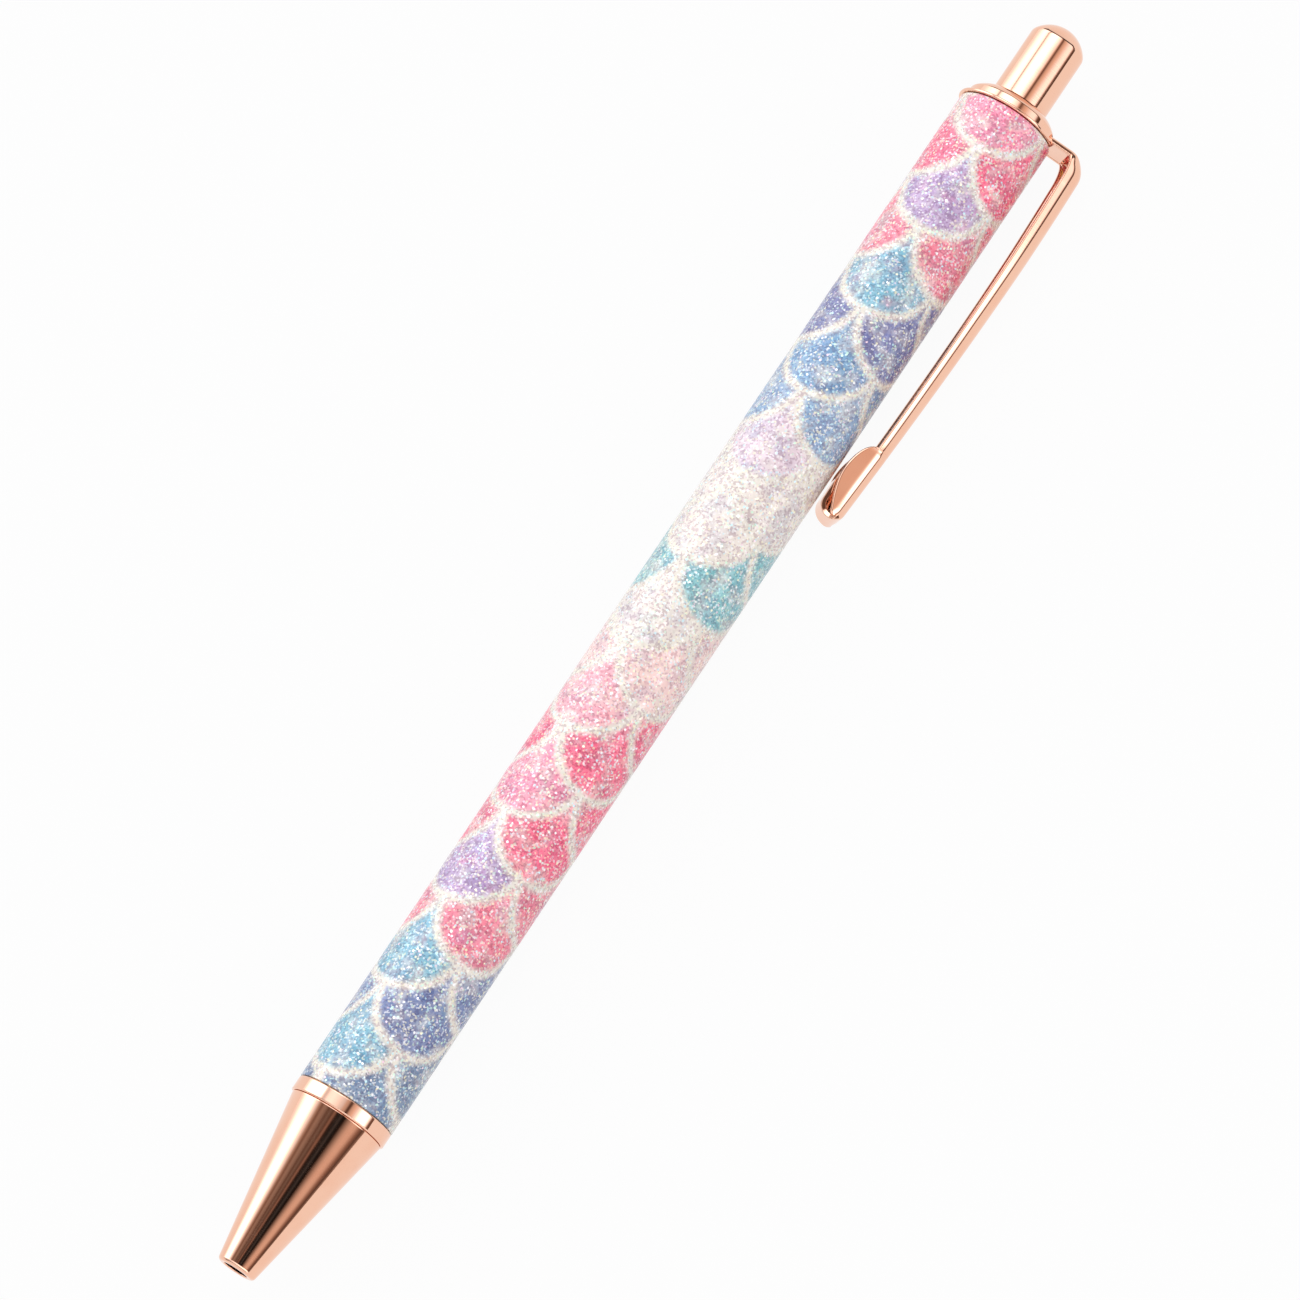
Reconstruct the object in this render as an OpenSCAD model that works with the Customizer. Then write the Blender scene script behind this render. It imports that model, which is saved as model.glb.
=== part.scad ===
// Retractable gel pen with a film-wrapped barrel, lying on its collar and the edge of its clip.
// Every piece is drawn upright about Z, writing end at zero and clip toward +X, then laid down
// along X with the clip toward -Y.

/* [Barrel] */
// Diameter of the barrel over its film
barrel_d = 10; // [9.6:0.1:11]
// Length of the barrel between nose ring and collar
barrel_l = 113.8; // [108:0.2:122]
// Thickness of the glitter film
film_t = 0.3; // [0.2:0.05:0.4]
// Wall of the metal tube under the film
tube_t = 0.5; // [0.4:0.05:0.6]

/* [Nose] */
// Length of the visible cone
nose_l = 16.7; // [15.5:0.1:19]
// Diameter of the cone at the writing end
tip_d = 3.85; // [3.7:0.05:4.2]
// Diameter of the hole that the point comes out of
hole_d = 2.5; // [2.44:0.02:2.6]
// Rounding of the edge at the writing end
tip_edge_r = 0.4; // [0.1:0.05:0.5]
// Step from the nose ring in to the cone
nose_step = 0.175; // [0.05:0.025:0.3]
// Length of the ring between cone and barrel
ring_l = 1.5; // [1:0.1:2.5]
// Diameter of the threaded spigot of the nose
spigot_d = 7.1; // [6.9:0.05:7.3]
// Length of the thread inside the barrel
thread_l = 7.5; // [6:0.25:9]
// Distance from the writing end to the seat of the spring
seat_z = 7.2; // [6.5:0.1:8]

/* [Collar and button] */
// Height of the collar
collar_h = 2.2; // [2:0.05:2.8]
// Overhang of the collar past the barrel
collar_lip = 0.28; // [0.15:0.01:0.5]
// Radius of the bowed crown of the collar
crown_bow_r = 3.48; // [3:0.02:6]
// Diameter of the push button
button_d = 5.76; // [5.5:0.02:6]
// Height of the push button above the collar
button_out = 9; // [8:0.1:11]
// Radius of the domed top of the push button
button_dome_r = 3.04; // [3.02:0.02:5]
// Wall of the push button
button_wall = 0.48; // [0.4:0.02:0.6]

/* [Clip] */
// Width of the clip
clip_w = 4.5; // [4:0.1:4.8]
// Thickness of the clip's sheet
clip_t = 0.5; // [0.4:0.02:0.56]
// Length of the clip along the pen
clip_l = 43.3; // [38:0.1:50]
// Height of the clip's outer face above the barrel at its widest
clip_stand = 4.11; // [4:0.01:4.6]
// How far the clip leans in from its widest place to its lower end
clip_lean = 1.2; // [0.8:0.02:1.3]
// Depth of the side flanges on the arm
clip_depth = 1.85; // [1.6:0.01:2.2]
// Outer radius of the bend between web and flange
bend_r = 0.95; // [0.7:0.05:1.1]
// Outer radius of the shoulder where the clip turns down
shoulder_r = 2.05; // [1.9:0.05:2.4]
// Length of the half-moon foot
foot_l = 8.2; // [7:0.1:10]
// Gap between the foot and the barrel
foot_gap = 0.3; // [0.3:0.01:0.6]

/* [Click mechanism] */
// Travel of the push button
press_travel = 6.5; // [6.2:0.05:6.8]
// Depth of the crown teeth of plunger and rotor
tooth_depth = 0.9; // [0.7:0.05:1]
// Turn of the rotor over one press, in degrees
rotor_turn = 18; // [14:1:20]
// Depth of the grooves between the guide ribs
rib_h = 0.5; // [0.4:0.02:0.55]
// Length of the plunger below its stop
plunger_l = 6.1; // [5.8:0.1:6.6]
// Length of the rotor without its spindle
rotor_l = 7.9; // [7.6:0.1:9]

/* [Refill and spring] */
// Distance from the writing end in to the ball when retracted
ball_recess = 2.6; // [2.2:0.1:3]
// Diameter of the writing ball
ball_d = 0.7; // [0.5:0.1:0.8]
// Diameter of the metal point
point_d = 2.3; // [2.2:0.02:2.36]
// Length of the point in front of its holder
point_out = 7.9; // [7.6:0.1:8.4]
// Diameter of the front of the tip holder
holder_d = 3.5; // [3.4:0.02:3.6]
// Length of the front of the tip holder
holder_l = 10.5; // [10:0.1:12]
// Diameter of the ink tube
refill_d = 5.6; // [5.4:0.05:5.75]
// Wall of the ink tube
refill_wall = 0.65; // [0.5:0.05:0.8]
// Diameter of the spring wire
wire_d = 0.35; // [0.3:0.01:0.38]
// Mean diameter of the spring
spring_d = 4.4; // [4.36:0.02:4.46]
// Number of turns of the spring
spring_turns = 10; // [8:1:11]

/* [Fits] */
// Radial gap of pieces that slide in one another
slide_gap = 0.12; // [0.08:0.01:0.15]
// Gap of pieces that are fixed to one another
seat_gap = 0.05; // [0.02:0.01:0.06]
// Radial gap between film and tube, filled by the adhesive
bond_gap = 0.02; // [0.01:0.01:0.04]
// Gap between the crown teeth of plunger and rotor
tooth_gap = 0.12; // [0.08:0.01:0.2]

/* [Hidden] */
$fn = 96;

rose_gold = [0.87, 0.60, 0.48];
brass = [0.80, 0.66, 0.36];
steel = [0.72, 0.73, 0.75];
film_pink = [0.86, 0.55, 0.66];
black_plastic = [0.12, 0.12, 0.13];
white_plastic = [0.92, 0.92, 0.90];
clear_plastic = [0.82, 0.86, 0.88];
ink_black = [0.05, 0.05, 0.07];
grease_amber = [0.85, 0.78, 0.45];

// Radii from the film inward
barrel_r = barrel_d / 2;
tube_r = barrel_r - film_t;
bore_r = tube_r - tube_t;
bush_r = bore_r - seat_gap;
spigot_r = spigot_d / 2;
refill_r = refill_d / 2;
refill_bore = refill_r - refill_wall;
button_r = button_d / 2;
hole_r = hole_d / 2;
point_r = point_d / 2;
ball_r = ball_d / 2;
holder_r = holder_d / 2;
spring_r = spring_d / 2;
wire_r = wire_d / 2;

// Heights of the outer pieces, from the writing end
ring_top = nose_l + ring_l;
barrel_top = ring_top + barrel_l;
collar_top = barrel_top + collar_h;
pen_l = collar_top + button_out;

// Nose cone
shoulder_out_r = barrel_r - nose_step;
nose_bore_r = refill_r + slide_gap;
throat_r = holder_r + slide_gap;
chamber_r = spring_r + wire_r + slide_gap;
throat_slope_l = 1.8;
throat_room = 0.5;
edge_break = 0.15;
bush_over = 1;

// Click mechanism: the guide ribs leave the button's bore free, the grooves lie between them
grooves = 4;
teeth = 2 * grooves;
tooth_pitch = 360 / teeth;
tooth_steps = 8;
groove_half = 30;
rotor_lug_half = 9;
plunger_lug_half = 24;
rib_r = button_r + slide_gap;
groove_r = rib_r + rib_h;
lug_r = groove_r - slide_gap;
core_r = rib_r - slide_gap;
crown_relief = 0.1;
crown_out_r = core_r - crown_relief;
crown_in_r = 1.5;
crown_root = 0.6;
crown_step = 0.2;
spindle_r = 1.2;
spindle_l = 3.5;
tooth_slip = tooth_depth * rotor_turn / (tooth_pitch / 2);
feed = press_travel - tooth_slip;
neck_depth = 4;
neck_z = barrel_top - neck_depth;
neck_wall = 0.55;
neck_r = rib_r + neck_wall;
stop_gap = 0.1;
plunger_top = neck_z - stop_gap;
crown_z = plunger_top - plunger_l;
plunger_lug_l = 4.9;
rotor_crown_z = crown_z - tooth_gap - tooth_slip;
rotor_body_z = rotor_crown_z - tooth_depth - crown_step;
rotor_z = rotor_crown_z - rotor_l;
rotor_lug_top = rotor_body_z;
rotor_lug_l = 3.6;
foot_relief = 0.25;
foot_r = core_r - foot_relief;
latch_rise = 1;
latch_over = 0.4;
rib_root_r = groove_r + seat_gap;
roof_t = 0.5;
rib_z = rotor_lug_top - feed + latch_over;
sleeve_over = 0.6;
sleeve_z = rotor_lug_top - rotor_lug_l - feed - sleeve_over;

// Bush and collar at the top of the barrel
flange_t = 0.4;
flange_r = tube_r - seat_gap;
bush_out = 1.15;
bush_top = barrel_top + bush_out;
bush_z = neck_z + roof_t + seat_gap;
collar_pocket = bush_top + stop_gap;
rim_r = barrel_r + collar_lip;
rim_round = 0.12;
rim_h = 0.3;
band_in = 0.1;
band_taper = 0.16;
band_h = 0.6;
collar_hole_edge = 0.15;

// Clip: the strap lies on the flange of the top bush and leaves through a notch in the collar
strap_lip = 0.05;
strap_top = barrel_top + flange_t + seat_gap + strap_lip + clip_t;
tab_r = bush_r + stop_gap;
clip_end = strap_top - clip_l;
notch_gap = 0.15;
notch_top = strap_top + notch_gap;
clip_reach = barrel_r + clip_stand;
bow_drop = 11;
bow_z = strap_top - bow_drop;
bow_in = 0.12;
foot_top = clip_end + foot_l;
crest_share = 0.56;
crest_z = clip_end + crest_share * foot_l;
crest_r = barrel_r + foot_gap;
foot_share = 0.735;
foot_depth = foot_share * clip_depth;
end_round = 0.9;
end_narrow = 0.6;
fillet_x = 0.65;
fillet_z = 2.8;
lean_power = 1.6;
end_lip = 0.2;
bend_steps = 5;

// Refill, from the ball up to its tail
ball_out = 0.7;
point_front = ball_recess + ball_out * ball_r;
point_cone_l = 3;
holder_z = ball_recess + point_out;
spring_top = holder_z + holder_l;
holder_rim = 1.2;
tube_z = spring_top + holder_rim;
plug_in = 4.8;
point_in = 4;
tail_z = rotor_z - seat_gap;
tail_rim = 0.8;
throat_z = holder_z - feed - throat_room;
wide_z = spring_top - feed - throat_room;
ink_z = tube_z + plug_in + seat_gap;
ink_fill = 0.78;
ink_top = ink_z + ink_fill * (tail_z - tail_rim - plug_in - ink_z);
follower_l = 6;
channel_r = 0.6;
ink_feed_r = 0.25;
ball_gap = 0.02;
point_lip = 0.07;

// Spring wire: rings in a turn, sides of its section, and how much closer the end turns lie
coil_rings = 8;
coil_sides = 6;
coil_close = 0.35;

// Push button
cap_z = plunger_top + seat_gap;
cap_roof = 1.9;
cap_bore = button_r - button_wall;

// Resting place: the collar's rim and the lower edge of the clip both touch the ground
axis_h = rim_r;
edge_x = clip_reach - bend_r;
edge_y = clip_w / 2 - bend_r;
roll = asin((axis_h - bend_r) / norm([edge_x, edge_y])) - atan2(edge_y, edge_x);
clip_side = edge_x * cos(roll) + edge_y * sin(roll) + bend_r;
axis_y = (clip_side - rim_r) / 2;

// Round arc of a profile, from angle a to angle b about [cx, cy]
function arc(cx, cy, r, a, b, steps = 12) =
    [for (i = [0:steps]) let (t = a + (b - a) * i / steps) [cx + r * cos(t), cy + r * sin(t)]];

// Round arc of radius r from point p to point q, bulging to the right of the way from p to q
function bow(p, q, r) =
    let (
        way = q - p,
        side = [way[1], -way[0]] / norm(way),
        hub = (p + q) / 2 - side * sqrt(r * r - way * way / 4)
    )
    arc(hub[0], hub[1], r, atan2(p[1] - hub[1], p[0] - hub[0]), atan2(q[1] - hub[1], q[0] - hub[0]));

// Drop of a quarter round, 0 at its start and 1 at its end
function round_off(t) = let (u = max(0, min(1, t))) 1 - sqrt(1 - u * u);

// Height of the crown teeth at angle a, 1 at a tip and 0 in a valley
function tooth(a) = abs(((a + 360) % tooth_pitch) / (tooth_pitch / 2) - 1);

// Triangles of the skin between count rings of size points each; closed joins the last to the first
function skin(count, size, closed = false) =
    [for (i = [0:count - (closed ? 1 : 2)], k = [0:size - 1])
        let (j = (i + 1) % count, m = (k + 1) % size)
            each [[i * size + k, j * size + k, j * size + m],
                [i * size + k, j * size + m, i * size + m]]];

// Places a piece that is drawn upright on the ground
module lay() {
    translate([-pen_l / 2, axis_y, axis_h])
        rotate([roll - 90, 0, 0])
            rotate([0, 90, 0])
                children();
}

// Tube of radii r0 and r1 between heights z0 and z1
module pipe(r0, r1, z0, z1) {
    rotate_extrude()
        translate([r0, z0])
            square([r1 - r0, z1 - z0]);
}

// Sector of a tube, centred on angle a
module sector(r0, r1, z0, z1, a, half) {
    rotate([0, 0, a - half])
        rotate_extrude(angle = 2 * half)
            translate([r0, z0])
                square([r1 - r0, z1 - z0]);
}

// Wedge across the angles a - half to a + half at radius r, whose sloping face rises from za to zb,
// filled up or down to height fill
module wedge(r, a, half, za, zb, fill) {
    w = r * tan(half);
    rotate([0, 0, a])
        translate([r / 2, 0, 0])
            rotate([90, 0, 90])
                linear_extrude(r)
                    polygon([[-w, za], [w, zb], [w, fill], [-w, fill]]);
}

// Ring with one plain face at height flat and one toothed face whose valleys lie at height valley
module crown(flat, valley) {
    count = tooth_steps * teeth;
    hangs = flat > valley;
    ra = hangs ? crown_in_r : crown_out_r;
    rb = hangs ? crown_out_r : crown_in_r;
    points = [for (i = [0:count - 1])
        let (a = 360 * i / count, face = valley - tooth_depth * tooth(a))
            for (p = [[ra, flat], [rb, flat], [rb, face], [ra, face]])
                [p[0] * cos(a), p[0] * sin(a), p[1]]];
    polyhedron(points, skin(count, 4, true));
}

module nose_cone() {
    edge_a = atan2(shoulder_out_r - tip_d / 2, nose_l);
    spigot_top = ring_top + thread_l;
    profile = concat(
        arc(tip_d / 2 - tip_edge_r, tip_edge_r, tip_edge_r, -90, -edge_a),
        [
            [shoulder_out_r, nose_l], [spigot_r, nose_l],
            [spigot_r, spigot_top - edge_break], [spigot_r - edge_break, spigot_top],
            [nose_bore_r, spigot_top], [nose_bore_r, wide_z], [chamber_r, wide_z], [chamber_r, seat_z],
            [throat_r, seat_z], [throat_r, throat_z], [hole_r, throat_z - throat_slope_l], [hole_r, 0]
        ]
    );
    color(rose_gold) lay() rotate_extrude() polygon(profile);
}

module nose_ring() {
    color(rose_gold)
        lay()
            rotate_extrude()
                polygon([
                    [spigot_r + seat_gap, nose_l], [barrel_r - edge_break, nose_l],
                    [barrel_r, nose_l + edge_break], [barrel_r, ring_top - edge_break],
                    [barrel_r - edge_break, ring_top], [spigot_r + seat_gap, ring_top]
                ]);
}

module thread_bush() {
    color(brass) lay() pipe(spigot_r + seat_gap, bush_r, ring_top, ring_top + thread_l + bush_over);
}

module barrel_tube() {
    color(brass) lay() pipe(bore_r, tube_r, ring_top, barrel_top);
}

module glitter_wrap() {
    color(film_pink) lay() pipe(tube_r + bond_gap, barrel_r, ring_top, barrel_top);
}

module top_bush() {
    color(brass)
        lay()
            rotate_extrude()
                polygon([
                    [neck_r + seat_gap, bush_z], [bush_r, bush_z],
                    [bush_r, barrel_top], [flange_r, barrel_top], [flange_r, barrel_top + flange_t],
                    [bush_r, barrel_top + flange_t], [bush_r, bush_top], [neck_r + seat_gap, bush_top]
                ]);
}

// One guide rib: its lower end is a long latching cam and a short run-off into the next groove
module guide_rib() {
    step_a = 180 / grooves + rotor_lug_half;
    groove_edge = 360 / grooves - groove_half;
    difference() {
        sector(rib_r, rib_root_r, rib_z, neck_z + roof_t / 2, 180 / grooves, 180 / grooves - groove_half);
        wedge(rib_root_r, (groove_half + step_a) / 2, (step_a - groove_half) / 2,
            rib_z, rib_z + latch_rise, sleeve_z);
        wedge(rib_root_r, (step_a + groove_edge) / 2, (groove_edge - step_a) / 2,
            rib_z, rib_z + latch_rise / 4, sleeve_z);
    }
}

// Guide of the click mechanism: grooves between four ribs, a roof that stops the plunger, and a neck
module cam_sleeve() {
    color(black_plastic)
        lay() {
            pipe(groove_r, bush_r, sleeve_z, neck_z + roof_t);
            pipe(rib_r, rib_root_r, neck_z, neck_z + roof_t);
            pipe(rib_r, neck_r, neck_z + roof_t / 2, bush_top);
            for (i = [0:grooves - 1])
                rotate([0, 0, 360 / grooves * i]) guide_rib();
        }
}

module top_collar() {
    rise_z = barrel_top + seat_gap;
    hole = button_r + slide_gap;
    crown_r = hole + collar_hole_edge;
    rim_top = rise_z + rim_h;
    band_r = barrel_r - band_in;
    profile = concat(
        [[flange_r + seat_gap, rise_z]],
        arc(rim_r - rim_round, rise_z + rim_round, rim_round, -90, 0, 6),
        arc(rim_r - rim_round, rim_top - rim_round, rim_round, 0, 90, 6),
        [[band_r, rim_top]],
        bow([band_r - band_taper, rim_top + band_h], [crown_r, collar_top], crown_bow_r),
        [
            [hole, collar_top - collar_hole_edge], [hole, collar_pocket],
            [bush_r + seat_gap, collar_pocket], [bush_r + seat_gap, barrel_top + flange_t + seat_gap],
            [flange_r + seat_gap, barrel_top + flange_t + seat_gap]
        ]
    );
    color(rose_gold)
        lay()
            difference() {
                rotate_extrude() polygon(profile);
                translate([hole, -clip_w / 2 - notch_gap, barrel_top])
                    cube([rim_r, clip_w + 2 * notch_gap, notch_top - barrel_top]);
            }
}

// Distance of the clip's outer face from the pen's axis at height z
function clip_face(z) =
    clip_reach
    - clip_lean * pow(max(0, bow_z - z) / (bow_z - clip_end), lean_power)
    - bow_in * pow(max(0, z - bow_z) / (strap_top - shoulder_r - bow_z), 2)
    - end_round * round_off((clip_end + end_round - z) / end_round);

// Distance of the flanges' inner edge from the axis at height z: the arm, then the half-moon foot
function clip_inner(z) =
    let (
        run = (z - foot_top) / (strap_top - shoulder_r - foot_top),
        arm = foot_depth + (clip_depth - foot_depth) * max(0, run),
        root = clip_face(foot_top) - foot_depth,
        reach = z > crest_z ? foot_top - crest_z : crest_z - clip_end + end_lip,
        bulge = sqrt(max(0, 1 - pow((z - crest_z) / reach, 2)))
    )
    z >= foot_top ? clip_face(z) - arm : root - (root - crest_r) * bulge;

// Cross-section of the clip's channel: half width, depth of the flanges, depth of the web's inside
function channel(half, depth, inside) =
    let (b = min(bend_r, 0.9 * depth), wall = half - clip_t)
    concat(
        [[half, depth]],
        [for (p = arc(half - b, -b, b, 0, 90, bend_steps)) [p[0], -p[1]]],
        [for (p = arc(b - half, -b, b, 90, 180, bend_steps)) [p[0], -p[1]]],
        [[-half, depth], [-wall, depth], [-wall, inside], [wall, inside], [wall, depth]]
    );

// Triangles from point hub to each step along the points first to last
function fan(hub, first, last) = [for (k = [first:last - 1]) [hub, k, k + 1]];

// Triangles that close the channel's section, from its outer points to the corners of its inside
function channel_cap() =
    let (web = bend_steps + 2, edge = 2 * bend_steps + 3, far = edge + 2, near = edge + 3, lip = edge + 4)
    concat(fan(lip, 0, 1), [[lip, 1, near]], fan(near, 1, web), [[near, web, far]], fan(far, web, edge),
        [[far, edge, edge + 1]]);

// One ring of the clip: section points carried to the outer face at p = [x, z], with depth along inward
function clip_ring(p, inward, section) =
    [for (q = section) [p[0] + q[1] * inward[0], q[0], p[1] + q[1] * inward[1]]];

// Ring of the bend between strap and arm: its flanges run from the outer face at p to the fillet's edge,
// a quarter ellipse that leaves the strap at t = 0 and joins the arm at t = 1
function bend_ring(p, t) =
    let (
        low = strap_top - clip_t - strap_lip - fillet_z,
        edge = [
            clip_inner(low) - fillet_x * (1 - sin(90 * t)),
            low + fillet_z * cos(90 * t)
        ],
        depth = norm(edge - p)
    )
    clip_ring(p, (edge - p) / depth, channel(clip_w / 2, depth, clip_t));

// Ring of the upright arm, foot and closed end at height z
function arm_ring(z) =
    let (
        depth = clip_face(z) - clip_inner(z),
        half = clip_w / 2 - end_narrow * round_off((clip_end + end_round - z) / end_round),
        closing = round_off((clip_end + clip_t + end_round - z) / end_round),
        inside = clip_t + (depth - strap_lip - clip_t) * closing
    )
    clip_ring([clip_face(z), z], [-1, 0], channel(half, depth, inside));

module clip() {
    turn_z = strap_top - shoulder_r;
    turn_x = clip_face(turn_z) - shoulder_r;
    arm_z = strap_top - clip_t - strap_lip - fillet_z;
    strap_x = clip_inner(arm_z) - fillet_x;
    bend_l = turn_x - strap_x + PI / 2 * shoulder_r + turn_z - arm_z;
    turn_steps = 10;
    lead_steps = 4;
    arm_steps = 14;
    foot_steps = 20;
    end_steps = 10;
    foot_low = clip_end + clip_t + end_round;
    strap = channel(clip_w / 2, clip_t + strap_lip, clip_t);
    rings = concat(
        [clip_ring([tab_r, strap_top], [0, -1], strap)],
        [for (i = [0:lead_steps - 1])
            let (run = (turn_x - strap_x) * i / lead_steps)
            bend_ring([strap_x + run, strap_top], run / bend_l)],
        [for (i = [0:turn_steps - 1])
            let (
                a = 90 * (1 - i / turn_steps),
                run = turn_x - strap_x + PI / 2 * shoulder_r * i / turn_steps
            )
            bend_ring([turn_x + shoulder_r * cos(a), turn_z + shoulder_r * sin(a)], run / bend_l)],
        [for (i = [0:lead_steps - 1])
            let (z = turn_z + (arm_z - turn_z) * i / lead_steps)
            bend_ring([clip_face(z), z], 1 - (z - arm_z) / bend_l)],
        [for (i = [0:arm_steps - 1]) arm_ring(arm_z + (foot_top - arm_z) * i / arm_steps)],
        [for (i = [0:foot_steps - 1]) arm_ring(foot_top + (foot_low - foot_top) * i / foot_steps)],
        [for (i = [0:end_steps]) arm_ring(foot_low + (clip_end - foot_low) * sin(90 * i / end_steps))]
    );
    size = len(strap);
    count = len(rings);
    last = (count - 1) * size;
    caps = concat(channel_cap(), [for (f = channel_cap()) [last + f[0], last + f[2], last + f[1]]]);
    color(rose_gold)
        lay()
            polyhedron([for (r = rings) each r], concat(skin(count, size), caps));
}

module push_button() {
    profile = concat(
        [[cap_bore, cap_z], [button_r, cap_z]],
        arc(0, pen_l - button_dome_r, button_dome_r, acos(button_r / button_dome_r), 90),
        [[0, pen_l - cap_roof], [cap_bore, pen_l - cap_roof]]
    );
    color(rose_gold) lay() rotate_extrude() polygon(profile);
}

// Toothed plunger: its stem fills the button's cap and its four lugs ride in the grooves
module plunger() {
    stem_top = pen_l - cap_roof - seat_gap;
    body_z = crown_z + crown_step;
    spindle_room = rotor_body_z + spindle_l + tooth_slip + crown_root;
    color(white_plastic)
        lay() {
            difference() {
                union() {
                    pipe(0, core_r, body_z, plunger_top);
                    pipe(0, cap_bore - seat_gap, plunger_top - crown_root, stem_top);
                    for (i = [0:grooves - 1])
                        sector(core_r - crown_root, lug_r, plunger_top - plunger_lug_l, plunger_top,
                            360 / grooves * i, plunger_lug_half);
                }
                pipe(0, spindle_r + slide_gap, body_z - 1, spindle_room);
            }
            crown(body_z + crown_root, crown_z);
        }
}

// Turning cam: toothed crown, spindle, and four lugs with sloping tops
module rotor() {
    lug_z = rotor_lug_top - rotor_lug_l;
    lug_rise = 2 * rotor_lug_half / (180 / grooves + rotor_lug_half - groove_half) * latch_rise;
    color(black_plastic)
        lay() {
            pipe(0, foot_r, rotor_z, lug_z);
            pipe(0, core_r, lug_z - crown_root, rotor_body_z);
            pipe(0, spindle_r, rotor_body_z - crown_root, rotor_body_z + spindle_l);
            difference() {
                for (i = [0:grooves - 1])
                    sector(core_r - crown_root, lug_r, lug_z, rotor_lug_top,
                        360 / grooves * i, rotor_lug_half);
                for (i = [0:grooves - 1])
                    wedge(groove_r, 360 / grooves * i, rotor_lug_half + 1,
                        rotor_lug_top - lug_rise, rotor_lug_top, rotor_lug_top + 1);
            }
            rotate([0, 0, -rotor_turn]) crown(rotor_body_z - crown_root, rotor_crown_z);
        }
}

module tip_holder() {
    color(white_plastic)
        lay()
            rotate_extrude()
                polygon([
                    [point_r + seat_gap, holder_z], [holder_r - edge_break, holder_z],
                    [holder_r, holder_z + edge_break], [holder_r, spring_top], [refill_r, spring_top],
                    [refill_r, tube_z], [refill_bore - seat_gap, tube_z],
                    [refill_bore - seat_gap, tube_z + plug_in], [channel_r, tube_z + plug_in],
                    [channel_r, holder_z + point_in], [point_r + seat_gap, holder_z + point_in]
                ]);
}

// Turned point: its lip folds round the ball and an ink channel runs up its middle
module point() {
    ball_z = ball_recess + ball_r;
    lip_r = ball_r + point_lip;
    color(steel)
        lay()
            difference() {
                rotate_extrude()
                    polygon([
                        [0, point_front], [lip_r, point_front], [point_r, point_front + point_cone_l],
                        [point_r, holder_z + point_in - seat_gap], [0, holder_z + point_in - seat_gap]
                    ]);
                translate([0, 0, ball_z]) sphere(r = ball_r + ball_gap);
                translate([0, 0, ball_z]) cylinder(r = ink_feed_r, h = holder_z + point_in - ball_z);
            }
}

module writing_ball() {
    color(steel) lay() translate([0, 0, ball_recess + ball_r]) sphere(r = ball_r);
}

module refill_tube() {
    color(clear_plastic) lay() pipe(refill_bore, refill_r, tube_z, tail_z - tail_rim);
}

module gel_ink() {
    color(ink_black) lay() pipe(0, refill_bore - seat_gap, ink_z, ink_top);
}

module ink_follower() {
    color(grease_amber) lay() pipe(0, refill_bore - seat_gap, ink_top, ink_top + follower_l);
}

module tail_plug() {
    color(white_plastic)
        lay()
            rotate_extrude()
                polygon([
                    [channel_r, tail_z - tail_rim - plug_in],
                    [refill_bore - seat_gap, tail_z - tail_rim - plug_in],
                    [refill_bore - seat_gap, tail_z - tail_rim], [refill_r, tail_z - tail_rim],
                    [refill_r, tail_z], [channel_r, tail_z]
                ]);
}

// Centre of the spring wire at ring i: the turns lie closer together at both ends
function coil(i) =
    let (
        t = i / (spring_turns * coil_rings),
        low = seat_z + seat_gap + wire_r,
        high = spring_top - seat_gap - wire_r,
        a = 360 * i / coil_rings
    )
    [spring_r * cos(a), spring_r * sin(a), low + (high - low) * (t - coil_close * sin(360 * t) / (2 * PI))];

// Corner k of the wire's section at ring i
function coil_corner(i, k) =
    let (c = coil(i), a = 360 * i / coil_rings, b = -360 * k / coil_sides, r = spring_r + wire_r * cos(b))
    [r * cos(a), r * sin(a), c[2] + wire_r * sin(b)];

module return_spring() {
    count = spring_turns * coil_rings + 1;
    points = [for (i = [0:count - 1], k = [0:coil_sides - 1]) coil_corner(i, k)];
    caps = [for (k = [1:coil_sides - 2])
        each [[0, k, k + 1], [for (c = [0, k + 1, k]) (count - 1) * coil_sides + c]]];
    self_gap = min([for (i = [0:count - 1], j = [i + coil_rings / 2:min(count - 1, i + 2 * coil_rings)])
        norm(coil(i) - coil(j))]) - wire_d;
    echo(least_gap_of_spring_to_itself_mm = self_gap);
    color(steel) lay() polyhedron(points, concat(skin(count, coil_sides), caps));
}

nose_cone();
nose_ring();
thread_bush();
barrel_tube();
glitter_wrap();
top_bush();
cam_sleeve();
top_collar();
clip();
push_button();
plunger();
rotor();
tip_holder();
point();
writing_ball();
refill_tube();
gel_ink();
ink_follower();
tail_plug();
return_spring();
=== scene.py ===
"""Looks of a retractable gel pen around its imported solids: polished metal, glitter film, small studio.

Lengths are millimetres of the upright drawing of the pen: z runs along the axis from the writing end
and x points at the clip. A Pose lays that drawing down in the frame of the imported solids, in metres.
"""
import logging
import math
from dataclasses import dataclass, field
from enum import Enum
from typing import Any, Callable, Dict, List, Optional, Sequence, Tuple, Union

import bmesh
import bpy
import numpy as np
from mathutils import Matrix, Vector


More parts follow.
